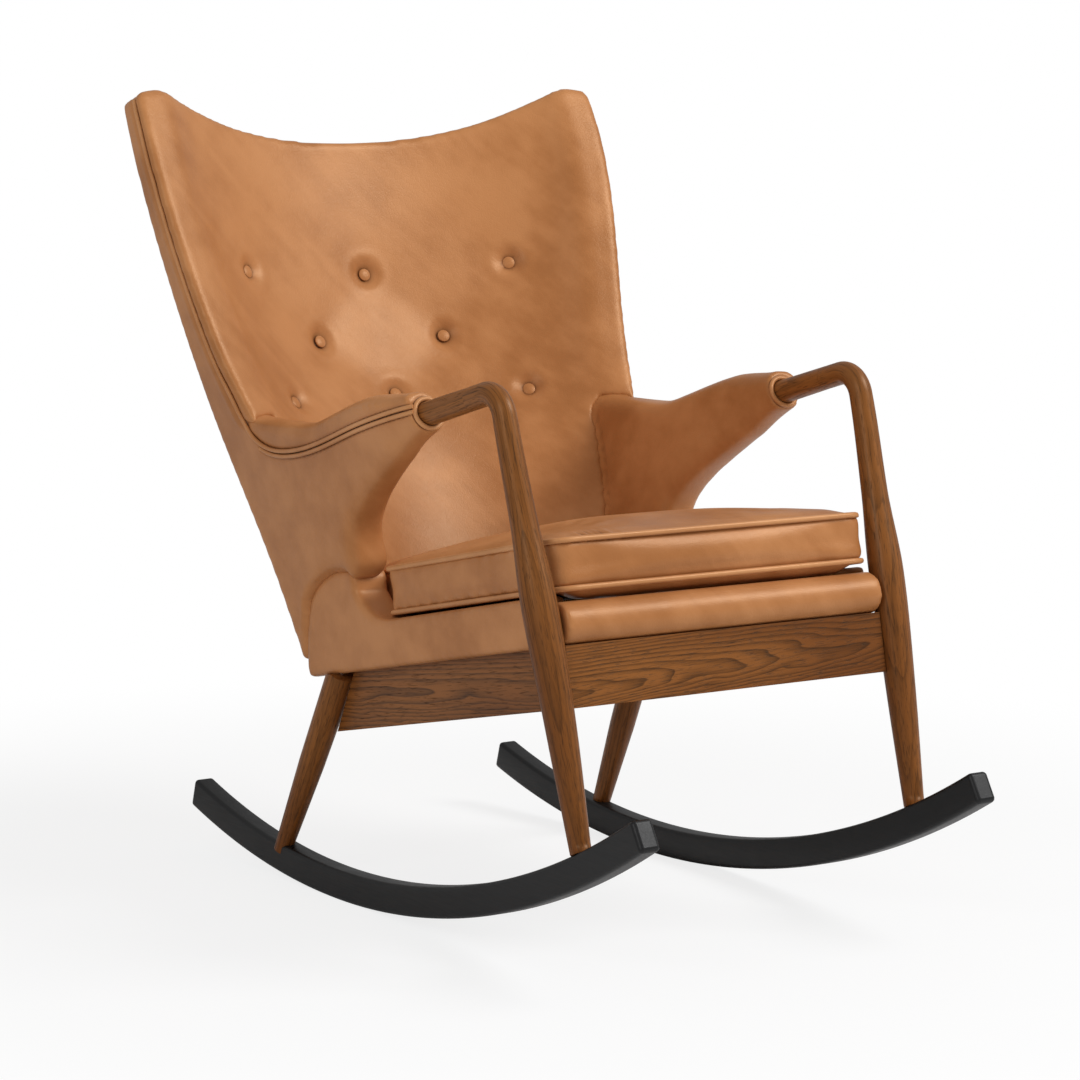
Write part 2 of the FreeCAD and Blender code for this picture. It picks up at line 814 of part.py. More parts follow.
def side_face(x, grow):
    """The seat side's outline as a face across the chair."""
    edges = []
    for kind, *points in side_outline(grow):
        points = [(x, *point) for point in points]
        edges.append(line(*points) if kind == "line" else arc(*points))
    return Part.Face(Part.Wire(edges))


def make_side_cover():
    body = new_body("side_cover_body", seat_place(SIDE_OUTER - mm.side_thick / 2))
    curves = []
    for kind, *points in side_outline(0):
        points = [Vector(*point, 0) for point in points]
        curves.append(Part.LineSegment(*points) if kind == "line" else Part.Arc(*points))
    sketch = sketch_on(body, "YZ_Plane", curves)
    pad(body, sketch, "Sizes.side_thick")
    return body


rail_inner = SIDE_OUTER - mm.side_thick / 2 - mm.seat_rail_thick / 2
seat_rail = plate(
    "seat_rail_body",
    [
        (mm.side_front + mm.skin_thick, mm.seat_rail_low),
        (mm.side_end_at - mm.skin_thick * 2, mm.seat_rail_low),
        (mm.side_end_at - mm.skin_thick * 2, mm.seat_rail_high),
        (mm.side_front + mm.skin_thick, mm.seat_rail_high),
    ],
    "Sizes.seat_rail_thick",
    seat_place(SIDE_OUTER - mm.side_thick / 2),
)
rail_room = doc.addObject("Part::Box", "seat_rail_room")
rail_room.setExpression("Length", "Sizes.seat_rail_thick + 2 * Sizes.layer_gap")
rail_room.setExpression(
    "Width", "Sizes.side_end_at - Sizes.side_front - 3 * Sizes.skin_thick + 2 * Sizes.layer_gap"
)
rail_room.setExpression("Height", "Sizes.seat_rail_high - Sizes.seat_rail_low + 2 * Sizes.layer_gap")
rail_room.Placement = seat_place(
    rail_inner - mm.layer_gap,
    mm.side_front + mm.skin_thick - mm.layer_gap,
    mm.seat_rail_low - mm.layer_gap,
)
leg_bolt_middle = LEG_TOP + LEG_UP * mm.layer_gap
leg_bolt = rod("leg_bolt", "leg_bolt_dia", "leg_bolt_length", leg_bolt_middle, LEG_UP)
leg_bolt_room = rod(
    "leg_bolt_room", "leg_bolt_dia", "leg_bolt_length", leg_bolt_middle, LEG_UP, "glue_gap"
)
arm_bolt_middle = Vector(HALF + mm.arm_bolt_out, mm.arm_bolt_y, mm.arm_bolt_z)
arm_bolt_up = Rotation(Vector(0, 1, 0), mm.arm_bolt_lean).multVec(Z_AXIS)
arm_bolt = rod("arm_bolt", "arm_bolt_dia", "arm_bolt_length", arm_bolt_middle, arm_bolt_up)
arm_bolt_bore = rod(
    "arm_bolt_bore", "arm_bolt_dia", "arm_bolt_length", arm_bolt_middle, arm_bolt_up, "glue_gap"
)
rear_rail_rear = mm.rear_rail_front + mm.rear_rail_thick
rear_rail_half = rail_inner - mm.glue_gap
SIDE_TO_SIDE = "2 * (Sizes.apron_half_span + Sizes.side_overhang) - Sizes.side_thick"
rear_rail = plate(
    "rear_rail_body",
    [
        (mm.rear_rail_front, mm.seat_rail_low),
        (rear_rail_rear, mm.seat_rail_low),
        (rear_rail_rear, mm.seat_rail_high),
        (mm.rear_rail_front, mm.seat_rail_high),
    ],
    f"{SIDE_TO_SIDE} - Sizes.seat_rail_thick - 2 * Sizes.glue_gap",
    SEAT,
)
rear_rail_room = doc.addObject("Part::Box", "rear_rail_room")
rear_rail_room.setExpression("Length", SIDE_TO_SIDE)
rear_rail_room.setExpression("Width", "Sizes.rear_rail_thick + 2 * Sizes.layer_gap")
rear_rail_room.setExpression(
    "Height", "Sizes.seat_rail_high - Sizes.seat_rail_low + 2 * Sizes.layer_gap"
)
rear_rail_room.Placement = seat_place(
    mm.side_thick / 2 - SIDE_OUTER,
    mm.rear_rail_front - mm.layer_gap,
    mm.seat_rail_low - mm.layer_gap,
)
back_bolt_middle = Vector(mm.back_bolt_x, mm.back_bolt_y, mm.back_bolt_z)
rearward = Vector(0, 1, 0)
back_bolt = rod("back_bolt", "back_bolt_dia", "back_bolt_length", back_bolt_middle, rearward)
back_bolt_bore = rod(
    "back_bolt_bore", "back_bolt_dia", "back_bolt_length", back_bolt_middle, rearward, "glue_gap"
)
back_bolt_bores = group(
    "back_bolt_bores", [back_bolt_bore, mirrored("back_bolt_bore_mirror", back_bolt_bore)]
)
keep(cut("rear_rail", rear_rail, back_bolt_bores), "seat_rear_rail")
keep(group("back_bolts_all", [back_bolt, mirrored("back_bolt_mirror", back_bolt)]), "back_bolts")
keep(group("arm_bolts_all", [arm_bolt, mirrored("arm_bolt_mirror", arm_bolt)]), "arm_bolts")
# The leg's top is trimmed to the slope of the seat side.
leg_trim = doc.addObject("Part::Box", "leg_trim")
leg_trim.setExpression("Length", "2 * (Sizes.apron_half_span + Sizes.side_overhang)")
leg_trim.setExpression("Width", "Sizes.side_end_at * 2")
leg_trim.setExpression("Height", "Sizes.apron_half_span + Sizes.side_overhang")
leg_trim.Placement = seat_place()
keep_pair(cut("leg", leg_blank, rocker_blank, foot_bores, leg_trim, leg_bolt_room), "rear_leg")
keep_pair(cut("seat_rail", seat_rail, leg_bolt_room, arm_bolt_bore), "seat_side_rail")
keep_pair(
    cut(
        "side_cover", make_side_cover(), rail_room, rear_rail_room, leg_bolt_room, arm_bolt_bore
    ),
    "seat_side_cover",
)
keep(group("leg_bolts_all", [leg_bolt, mirrored("leg_bolt_mirror", leg_bolt)]), "leg_bolts")

# Front roll, webbing and deck.


def roll_body(name, inset, half_expression):
    """A bar with a rounded nose; the inset shrinks it all round."""
    low = mm.roll_low + inset
    high = mm.roll_high - inset
    nose = -mm.roll_nose + inset
    middle = (low + high) / 2
    radius = (high - low) / 2
    shoulder = nose + radius
    back = mm.roll_back - inset
    points = [
        Vector(shoulder, low, 0),
        Vector(back, low, 0),
        Vector(back, high, 0),
        Vector(shoulder, high, 0),
        Vector(nose, middle, 0),
    ]
    slope = radius * math.sqrt(0.5)
    curves = [
        Part.LineSegment(points[0], points[1]),
        Part.LineSegment(points[1], points[2]),
        Part.LineSegment(points[2], points[3]),
        Part.Arc(points[3], Vector(shoulder - slope, middle + slope, 0), points[4]),
        Part.Arc(points[4], Vector(shoulder - slope, middle - slope, 0), points[0]),
    ]
    body = new_body(name, SEAT)
    sketch = sketch_on(body, "YZ_Plane", curves)
    join_ends(sketch, [(0, 2, 1, 1), (1, 2, 2, 1), (2, 2, 3, 1)])
    pad(body, sketch, half_expression)
    return body


ROLL_LENGTH = "2 * (Sizes.apron_half_span - Sizes.roll_side_gap)"
ROLL_WALLS = "2 * Sizes.skin_thick"
roll_blank = roll_body("roll_body", 0, ROLL_LENGTH)
roll_room = roll_body(
    "roll_room", mm.roll_core_wall - mm.layer_gap, f"{ROLL_LENGTH} - {ROLL_WALLS}"
)
roll_core = roll_body(
    "roll_core", mm.roll_core_wall, f"{ROLL_LENGTH} - {ROLL_WALLS} - 2 * Sizes.layer_gap"
)
keep(cut("front_roll", roll_blank, roll_room), "front_roll")
keep(roll_core, "front_roll_core")

strap_half = SIDE_OUTER - mm.side_thick - mm.layer_gap
BETWEEN_SIDES = (
    "2 * (Sizes.apron_half_span + Sizes.side_overhang - Sizes.side_thick - Sizes.layer_gap)"
)
deck_low = mm.strap_top + mm.layer_gap
strap_pitch = (mm.deck_rear - mm.roll_back - mm.strap_width) / mm.strap_count
straps = []
for count in range(int(mm.strap_count)):
    strap = doc.addObject("Part::Box", f"seat_strap_{count}")
    strap.setExpression("Length", BETWEEN_SIDES)
    strap.setExpression("Width", "Sizes.strap_width")
    strap.setExpression("Height", "Sizes.strap_thick")
    strap.Placement = seat_place(
        -strap_half,
        mm.roll_back + strap_pitch * (count + 0.5),
        mm.strap_top - mm.strap_thick,
    )
    straps.append(strap)
keep(group("seat_straps", straps), "seat_webbing")

deck = doc.addObject("Part::Box", "seat_deck_board")
deck.setExpression("Length", BETWEEN_SIDES)
deck.setExpression("Width", "Sizes.deck_rear - Sizes.roll_back - Sizes.layer_gap")
deck.setExpression("Height", "Sizes.deck_thick")
deck.Placement = seat_place(-strap_half, mm.roll_back + mm.layer_gap, deck_low)
keep(deck, "seat_deck")

# Wing shell: level sections, each a padded curve between a front and a back.

SHELL_BANDS = 8


def shell_row(z):
    """One level section: height, front, front fall, back, back fall and half width."""
    knots = table("shell_high")
    stems = ("front", "front_fall", "back", "back_fall")
    return (z, *[eased(knots, table("shell_" + stem), z) for stem in stems], half_at(z))


KNEE_SHARE = 0.6
EDGE_SHARE = 1
OVER_SHARE = 1.12
EDGE_RUN = (EDGE_SHARE - KNEE_SHARE) / (OVER_SHARE - KNEE_SHARE)
FRONT_SHARES = {0: 0, KNEE_SHARE: 0.40, EDGE_SHARE: 1.02, OVER_SHARE: 1.20}
BACK_SHARES = {0: 0, KNEE_SHARE: 0.38, EDGE_SHARE: 1, OVER_SHARE: 1.19}


def drawn(y):
    """How far the shell's sides draw in at a place along the chair."""
    places = table("draw_at")
    total = 0
    for n, (place, value) in enumerate(zip(places, table("draw_in"))):
        share = 1
        for m, other in enumerate(places):
            if m != n:
                share *= (y - other) / (place - other)
        total += value * share
    return total


def half_at(z):
    """Half the shell's width at a height."""
    return HALF + eased(table("shell_high"), table("shell_out"), z)


shell_rise = mm.shell_high_7 - mm.shell_high_0
SHELL = [
    shell_row(mm.shell_high_0 + shell_rise * step / SHELL_BANDS) for step in range(SHELL_BANDS + 1)
]


def shell_point(row, across, depth):
    """A point of a section at a share of the half width and a share of the depth."""
    z, front, front_fall, back, back_fall, half = row
    near = front - front_fall * FRONT_SHARES[abs(across)]
    far = back - back_fall * BACK_SHARES[abs(across)]
    return (across * half, near + (far - near) * depth, z)


def shell_wire(row, near, far):
    """The closed outline of a layer of a section; depths are listed from the middle out."""
    steps = (-OVER_SHARE, -KNEE_SHARE, 0, KNEE_SHARE, OVER_SHARE)
    order = (2, 1, 0, 1, 2)
    front = [shell_point(row, step, near[n]) for step, n in zip(steps, order)]
    rear = [shell_point(row, step, far[n]) for step, n in zip(steps, order)]
    return Part.Wire(
        [
            line(front[0], front[1]),
            arc(front[1], front[2], front[3]),
            line(front[3], front[4]),
            line(front[4], rear[4]),
            line(rear[4], rear[3]),
            arc(rear[3], rear[2], rear[1]),
            line(rear[1], rear[0]),
            line(rear[0], front[0]),
        ]
    )


def shell_layer(near, far):
    """The full height of the shell between two depths."""
    return Part.makeLoft([shell_wire(row, near, far) for row in SHELL], True, False)


def corner(before, point, after, radius):
    """The three points of the arc that rounds a corner."""
    back = (Vector(*before) - Vector(*point)).normalize()
    on = (Vector(*after) - Vector(*point)).normalize()
    half = back.getAngle(on) / 2
    middle = (back + on).normalize()
    run = radius / math.tan(half)
    inward = radius / math.sin(half) - radius
    return (
        Vector(*point) + back * run,
        Vector(*point) + middle * inward,
        Vector(*point) + on * run,
    )


def rounded(points, radii):
    """A closed wire of straight lines with its corners rounded."""
    count = len(points)
    arcs = [
        corner(points[n - 1], points[n], points[(n + 1) % count], radii[n]) for n in range(count)
    ]
    edges = []
    for n in range(count):
        edges.append(Part.Arc(*arcs[n]).toShape())
        edges.append(Part.LineSegment(arcs[n][2], arcs[(n + 1) % count][0]).toShape())
    return Part.Wire(edges)


def pad_wire(row, far):
    """The outline of the inside back at one level, its wing edges rounded."""
    front = []
    rear = []
    for sign in (-1, 1):
        edge_depth = far[1] + (far[2] - far[1]) * EDGE_RUN
        for share, depth in ((EDGE_SHARE, edge_depth), (KNEE_SHARE, far[1])):
            near_point = shell_point(row, sign * share, 0)
            far_point = shell_point(row, sign * share, depth)
            if share == EDGE_SHARE:
                near_point = (near_point[0] - sign * drawn(near_point[1]), *near_point[1:])
                knee = shell_point(row, sign * KNEE_SHARE, far[1])
                run = drawn(far_point[1]) / abs(far_point[0] - knee[0])
                far_point = tuple(e + (k - e) * run for e, k in zip(far_point, knee))
            front.append(near_point)
            rear.append(far_point)
    middle_front = shell_point(row, 0, 0)
    middle_rear = shell_point(row, 0, far[0])
    round_left = corner(rear[0], front[0], front[1], mm.wing_edge_round)
    round_right = corner(front[3], front[2], rear[2], mm.wing_edge_round)
    return Part.Wire(
        [
            Part.Arc(*round_left).toShape(),
            line(round_left[2], front[1]),
            arc(front[1], middle_front, front[3]),
            line(front[3], round_right[0]),
            Part.Arc(*round_right).toShape(),
            line(round_right[2], rear[2]),
            line(rear[2], rear[3]),
            arc(rear[3], middle_rear, rear[1]),
            line(rear[1], rear[0]),
            line(rear[0], round_left[0]),
        ]
    )


def envelope(inset):
    """All that lies within the shell's sides, drawn in by an inset."""
    wires = []
    for y, narrower in zip(table("draw_at"), table("draw_in")):
        sides = [(row[5] - narrower - inset, row[0]) for row in SHELL]
        right = [(x, y, z) for x, z in sides]
        left = [(-x, y, z) for x, z in reversed(sides)]
        wires.append(
            Part.Wire(
                [spline(right), line(right[-1], left[0]), spline(left), line(left[-1], right[0])]
            )
        )
    return Part.makeLoft(wires, True, False)


def above_top(drop):
    """All that lies above the shell's top edge, lowered by a drop."""
    y = mm.shell_front_6
    half = half_at(mm.shell_high_6)
    rising = [
        (share * half, y, z - drop)
        for share, z in zip(table("top_across_share"), table("top_high"))
    ]
    falling = [(-x, *rest) for x, *rest in reversed(rising[1:])]
    curve = falling + rising
    low = curve[-1]
    high = low[2] + mm.far
    wide = low[0] + mm.far
    corners = [low, (wide, y, low[2]), (wide, y, high), (-wide, y, high), (-wide, y, low[2])]
    corners.append((-low[0], y, low[2]))
    edges = [spline(curve)] + [line(a, b) for a, b in zip(corners, corners[1:])]
    face = Part.Face(Part.Wire(edges))
    slope = tilt(90 + mm.top_tilt)
    face.translate(slope * -mm.far)
    return face.extrude(slope * (2 * mm.far))


def hump_room(grow):
    """The room that the two leather seat sides need, one solid for each."""
    inner_x = SIDE_OUTER - mm.side_thick - grow
    width = mm.side_thick + grow + mm.far
    rooms = []
    for start in (inner_x, -inner_x - width):
        face = side_face(start, grow)
        face.Placement = SEAT
        rooms.append(face.extrude(X_AXIS * width))
    return rooms


def level_band(low, high):
    """Everything between two heights."""
    size = 4 * mm.far
    return Part.makeBox(size, size, high - low, Vector(-size / 2, -size / 2, low))


ARM_STEPS = 16


def arm_sections(grow):
    """The arm's leaning sections from the socket back, as rounded wires."""
    wires = []
    stems = ("arm_top_y", "arm_top_z", "arm_low_y", "arm_low_z", "arm_low_out")
    stations = range(len(TABLES["arm_top_y"]))
    for step in range(ARM_STEPS + 1):
        at = stations[-1] * step / ARM_STEPS
        top_y, top_z, low_y, low_z, low_out = [
            eased(stations, table(stem), at) for stem in stems
        ]
        up = Vector(0, top_y - low_y, top_z - low_z).normalize() * grow
        top_outer = half_at(top_z) - drawn(top_y) + mm.overrun
        low_outer = half_at(low_z) - drawn(low_y) + mm.overrun
        points = [
            Vector(HALF + low_out - grow, low_y, low_z) - up,
            Vector(low_outer + grow, low_y, low_z) - up,
            Vector(top_outer + grow, top_y, top_z) + up,
            Vector(HALF + mm.arm_inner_out - grow, top_y, top_z) + up,
        ]
        radii = [mm.arm_lower_round, mm.arm_lower_round, mm.arm_crown_round, mm.arm_inner_round]
        wires.append(rounded(points, [radius + grow for radius in radii]))
    return wires


def make_arm(grow):
    return Part.makeLoft(arm_sections(grow), True, True)


def below_seam(raise_by):
    """All that lies under the seam on the arm's outer side."""
    seam = [(0, y, z + raise_by) for y, z in zip(table("seam_y"), table("seam_z"))]
    first, last = seam[0], seam[-1]
    low = mm.shell_high_0 - mm.far
    rear = last[1] + 2 * mm.far
    corners = [last, (0, rear, last[2]), (0, rear, low), (0, first[1], low), first]
    edges = [spline(seam)] + [line(a, b) for a, b in zip(corners, corners[1:])]
    return Part.Face(Part.Wire(edges)).extrude(X_AXIS * (2 * mm.far))


MIDDLE = mm.pad_share_middle
SIDES = mm.pad_share_sides
gap_share = mm.layer_gap / mm.shell_mean_thick
pad_back = (MIDDLE, MIDDLE, SIDES)
behind_pad = (MIDDLE + gap_share, MIDDLE + gap_share, SIDES + 3 * gap_share)
outer = envelope(0)
outer_over = envelope(-mm.overrun)
inner = envelope(mm.skin_thick)
inner_fit = envelope(mm.skin_thick + mm.layer_gap)
top = above_top(0)
pad_loft = Part.makeLoft([pad_wire(row, pad_back) for row in SHELL], True, False)
pad_blank = pad_loft.cut(top)
rear_layer = shell_layer(behind_pad, (1, 1, 1))
arm_limit = shell_layer(pad_back, (1, 1, 1))
seat_rooms = hump_room(mm.layer_gap)
arm_whole = make_arm(0)
arm_room = make_arm(mm.layer_gap)
under_seam = below_seam(0)
under_seam_fit = below_seam(mm.layer_gap)
rail_full_room = make_rail("rail_room", mm.layer_gap).Shape

# Inside back: funnel tufts sewn down to their buttons, and room for arms and seat sides.


def front_of(shape, x, z):
    """The front of a shape where a level line across it meets it."""
    ray = Part.LineSegment(Vector(x, -mm.far, z), Vector(x, mm.far + mm.far, z)).toShape()
    hits = [vertex.Point for vertex in shape.common(ray).Vertexes]
    return min(hits, key=lambda point: point.y)


def tuft_place(x, z):
    """The place of a button, its own Z axis square to the padding."""
    at = front_of(pad_blank, x, z)
    aside = front_of(pad_blank, x + mm.button_dia, z) - front_of(pad_blank, x - mm.button_dia, z)
    above = front_of(pad_blank, x, z + mm.button_dia) - front_of(pad_blank, x, z - mm.button_dia)
    return Placement(at, Rotation(Z_AXIS, aside.cross(above).normalize()))


def turned_face(edges):
    """A solid turned from a closed outline about the Z axis."""
    return Part.Face(Part.Wire(edges)).revolve(Vector(), Z_AXIS, 360)


def tuft_funnel():
    """What the sewing takes out of the padding round a button."""
    seat_radius = mm.button_dia / 2 + mm.layer_gap
    fall = mm.tuft_depth + mm.tuft_rim_rise
    run = mm.tuft_radius - seat_radius
    sweep_radius = (run**2 + fall**2) / (2 * fall)
    turn = math.asin(run / sweep_radius) / 2
    middle = (
        mm.tuft_radius - sweep_radius * math.sin(turn),
        0,
        mm.tuft_rim_rise - sweep_radius * (1 - math.cos(turn)),
    )
    low = (seat_radius, 0, -mm.tuft_depth)
    rim = (mm.tuft_radius, 0, mm.tuft_rim_rise)
    return turned_face(
        [
            line((0, 0, -mm.tuft_depth), low),
            line(low, middle),
            line(middle, rim),
            line(rim, (mm.tuft_radius, 0, mm.tuft_clear)),
            line((mm.tuft_radius, 0, mm.tuft_clear), (0, 0, mm.tuft_clear)),
            line((0, 0, mm.tuft_clear), (0, 0, -mm.tuft_depth)),
        ]
    )


def button_form():
    """A covered button with a domed face, resting on the floor of its tuft."""
    radius = mm.button_dia / 2
    low = mm.glue_gap - mm.tuft_depth
    rise = mm.button_thick / 2
    rim = low + mm.button_thick - rise
    ball = (radius**2 + rise**2) / (2 * rise)
    turn = math.asin(radius / ball) / 2
    crest = rim + rise
    dome = (ball * math.sin(turn), 0, crest - ball * (1 - math.cos(turn)))
    return turned_face(
        [
            line((0, 0, low), (radius, 0, low)),
            line((radius, 0, low), (radius, 0, rim)),
            line((radius, 0, rim), dome),
            line(dome, (0, 0, crest)),
            line((0, 0, crest), (0, 0, low)),
        ]
    )


funnel = tuft_funnel()
button = button_form()
funnels = []
buttons = []
for x, z in zip(table("button_x"), table("button_z")):
    place = tuft_place(x, z)
    for form, made in ((funnel, funnels), (button, buttons)):
        made.append(form.copy())
        made[-1].Placement = place
pad_tufted = pad_blank.cut(funnels)
arm_rooms = [arm_room, arm_room.mirror(Vector(), X_AXIS)]
doc.recompute()
bolt_bores = back_bolt_bores.Shape
inside_back = pad_tufted.cut(arm_rooms + seat_rooms + [bolt_bores])
keep(feature("inside_back", inside_back), "inside_back")
keep(feature("back_buttons", Part.makeCompound(buttons)), "back_buttons")

# Arms and outer sides, made on the sitter's left.
skin = outer_over.cut(inner_fit)
arm_within = arm_whole.common(outer).cut(arm_limit)
board_place = Placement(
    Vector(HALF + mm.arm_frame_out, 0, mm.arm_frame_z), Rotation(Vector(0, 1, 0), mm.arm_frame_lean)
)
board_stretch = 1 / math.cos(math.radians(mm.arm_frame_lean))
board_corners = list(zip(table("board_y"), table("board_z")))
for nose in (0, -1):
    high = board_corners[nose][1]
    lean = math.tan(math.radians(mm.rail_fall))
    board_corners[nose] = (RAIL_END.y + 2 * mm.layer_gap + (high - RAIL_END.z) * lean, high)
board_outline = [(y, (z - mm.arm_frame_z) * board_stretch) for y, z in board_corners]
board = plate("board_body", board_outline, "Sizes.arm_frame_thick", board_place)
board_wire = Part.makePolygon([(0, *point) for point in board_outline + board_outline[:1]])
board_room = Part.Face(board_wire.makeOffset2D(mm.layer_gap, 2))
board_room.translate(X_AXIS * (-mm.arm_frame_thick / 2 - mm.layer_gap))
board_room = board_room.extrude(X_AXIS * (mm.arm_frame_thick + 2 * mm.layer_gap))
board_room.Placement = board_place
keep_pair(cut("board", board, rail_pin_bore, arm_bolt_bore), "arm_frame")
doc.recompute()
arm_core = arm_within.cut(
    [
        skin.common(under_seam_fit),
        seat_rooms[0],
        rail_full_room,
        board_room,
        arm_bolt_bore.Shape,
        rail_pin_bore.Shape,
    ]
)
outer_skin = outer.cut(inner)
left_half = Part.makeBox(2 * mm.far, 4 * mm.far, 4 * mm.far, Vector(0, -2 * mm.far, 0))
arm_skin = arm_whole.common(outer_skin).common(under_seam)
wing_skin = rear_layer.common(outer_skin).common(left_half)
side_skin = wing_skin.fuse(arm_skin)
side_panel = side_skin.cut([top, seat_rooms[0], rail_full_room])
keep_pair(feature("side_panel", side_panel), "side_panel")
keep_pair(feature("arm_pad", arm_core), "arm_pad")
rear_whole = rear_layer.common(inner_fit).cut([top] + seat_rooms)
border = mm.skin_thick + mm.frame_border
END = mm.frame_end_share
cavity = shell_layer((SIDES, SIDES, 0), (END, END, END)).common(envelope(border))
cavity = cavity.cut(above_top(mm.top_border))
outside_back = rear_whole.cut(cavity)
keep(feature("outside_back", outside_back), "outside_back")

# Frame inside the back: two uprights, three rails and webbing.

frame_front = (MIDDLE + 2 * gap_share, MIDDLE + 2 * gap_share, SIDES + 2 * gap_share)
frame_back = (END - gap_share, END - gap_share, END - gap_share)
frame_zone = shell_layer(frame_front, frame_back).common(envelope(border + mm.layer_gap))
frame_zone = frame_zone.cut([above_top(mm.top_border + mm.layer_gap), bolt_bores] + seat_rooms)
between = envelope(border + mm.upright_width)
between_fit = envelope(border + mm.upright_width + mm.glue_gap)
upright = frame_zone.cut(between).common(left_half)
upright = upright.common(level_band(mm.bottom_rail_low, mm.shell_high_7))
keep_pair(feature("upright", upright), "back_upright")
rails = frame_zone.common(between_fit)
for label, low, high in (
    ("back_bottom_rail", mm.bottom_rail_low, mm.bottom_rail_high),
    ("back_middle_rail", mm.middle_rail_low, mm.middle_rail_high),
    ("back_top_rail", mm.top_rail_low, mm.shell_high_7),
):
    keep(feature(label, rails.common(level_band(low, high))), label)
strap_share = mm.strap_thick / mm.shell_mean_thick
strap_back = tuple(share + strap_share for share in frame_front)
strap_zone = shell_layer(frame_front, strap_back).common(between_fit)
back_straps = []
for low, high, count in (
    (mm.bottom_rail_high, mm.middle_rail_low, 2),
    (mm.middle_rail_high, mm.top_rail_low, 3),
):
    space = (high - low - count * mm.back_strap_width) / (count + 1)
    for step in range(count):
        start = low + space + step * (space + mm.back_strap_width)
        back_straps.append(strap_zone.common(level_band(start, start + mm.back_strap_width)))
keep(feature("back_straps", Part.makeCompound(back_straps)), "back_webbing")

# Seat cushion: a T-shaped boxed cushion with piped edges, slid in loose between the arms.

CUSHION_MIDDLE = Vector(0, (mm.cushion_front + mm.cushion_rear_corner) / 2, 0)
CROWN_SHARES = ((1, 0), (0.9, 0.45), (0.72, 0.8), (0.44, 1))
CORE_SHARES = ((1, 0), (0.62, 0.86))


def cushion_outline(z, scale):
    """The cushion's outline at a height, at a scale about its middle."""
    half = CUSHION_HALF
    ear = EAR_HALF
    right = [
        (half, mm.cushion_front),
        (half, mm.cushion_ear_at),
        (ear, mm.cushion_ear_at),
        (ear, mm.cushion_rear_corner),
    ]
    points = right + [(0, mm.cushion_rear_apex)] + [(-x, y) for x, y in reversed(right)]
    wide, small = mm.cushion_corner, mm.cushion_inner_corner
    radii = [wide, small, small, wide, mm.cushion_rear_round, wide, small, small, wide]
    points = [
        CUSHION_MIDDLE + (Vector(x, y, 0) - CUSHION_MIDDLE) * scale + Z_AXIS * z for x, y in points
    ]
    return rounded(points, [radius * scale for radius in radii])


def cushion_form(wall, shares):
    """The cushion's form, or with a wall the filling inside its cover; shares shape its crown."""
    whole = 1 - wall / CUSHION_HALF
    pinched = 1 - mm.cushion_draw_in / CUSHION_HALF
    low, high = mm.cushion_welt_low, mm.cushion_welt_high
    sides = [cushion_outline(low, whole), cushion_outline(high, whole)]
    if not wall:
        sides.insert(1, cushion_outline((low + high) / 2, pinched))
    form = Part.makeLoft(sides, True, True)
    for start, rise in ((high, mm.cushion_crown - wall), (low, wall - mm.cushion_belly)):
        rings = [cushion_outline(start + rise * up, whole * scale) for scale, up in shares]
        form = form.fuse(Part.makeLoft(rings, True, True))
    form.Placement = SEAT
    return form


WELT_SIDES = 8


def cushion_welt(z, swell):
    """A round welt along the cushion's seam, or with a swell the room that it needs."""
    spine = cushion_outline(z, 1 - mm.welt_set_in / CUSHION_HALF)
    start = spine.Edges[1].Vertexes[0].Point
    along = spine.Edges[1].tangentAt(spine.Edges[1].FirstParameter)
    turn = Rotation(Z_AXIS, along)
    radius = mm.welt_dia / 2 + swell
    corners = []
    for side in range(WELT_SIDES + 1):
        angle = math.radians(360 * side / WELT_SIDES)
        corners.append(start + turn.multVec(Vector(math.cos(angle), math.sin(angle), 0) * radius))
    ring = Part.makePolygon(corners)
    welt = Part.Wire(spine.Edges[1:] + spine.Edges[:1]).makePipeShell([ring], True, False)
    welt.Placement = SEAT
    return welt


whole_cushion = cushion_form(0, CROWN_SHARES)
core_room = cushion_form(mm.cushion_cover_wall, CORE_SHARES)
core = cushion_form(mm.cushion_cover_wall + mm.layer_gap, CORE_SHARES)
welt_rooms = [
    cushion_welt(z, mm.glue_gap) for z in (mm.cushion_welt_low, mm.cushion_welt_high)
]
cushion_cover = whole_cushion.cut([core_room] + welt_rooms)
keep(feature("cushion_cover", cushion_cover), "cushion_cover")
keep(feature("cushion_core", core), "cushion_core")
keep(feature("cushion_top_welt", cushion_welt(mm.cushion_welt_high, 0)), "cushion_top_welt")
keep(feature("cushion_bottom_welt", cushion_welt(mm.cushion_welt_low, 0)), "cushion_bottom_welt")

doc.recompute()
os.makedirs("parts", exist_ok=True)
problems = []
for piece in doc.Objects:
    if "Invalid" in piece.State or "Error" in piece.State:
        problems.append(f"{piece.Name} failed: {piece.State}")
for piece in kept:
    shape = piece.Shape
    if shape.isNull() or not shape.isValid() or not shape.Solids:
        problems.append(f"{piece.Label} has no valid solid")
for problem in problems:
    print(problem)
if problems:
    raise SystemExit(1)
for piece in kept:
    piece.Shape.exportStep(f"parts/{piece.Label}.step")
    print(piece.Label, len(piece.Shape.Solids), round(piece.Shape.Volume))
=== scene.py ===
# %% [markdown]
# # A rocking wing chair, dressed for its portrait
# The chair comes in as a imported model: every board, dowel and cushion is already in its place and in metres.
# Here it gets what a maker would add last: leather that swells and creases, piping, buttons, oiled walnut.
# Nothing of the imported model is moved. A soft piece is built again, finer, where its plain solid stands.
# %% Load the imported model
import json
import math

import bmesh
import bpy
import numpy as np
from mathutils import Matrix, Vector
from mathutils.bvhtree import BVHTree
from mathutils.kdtree import KDTree


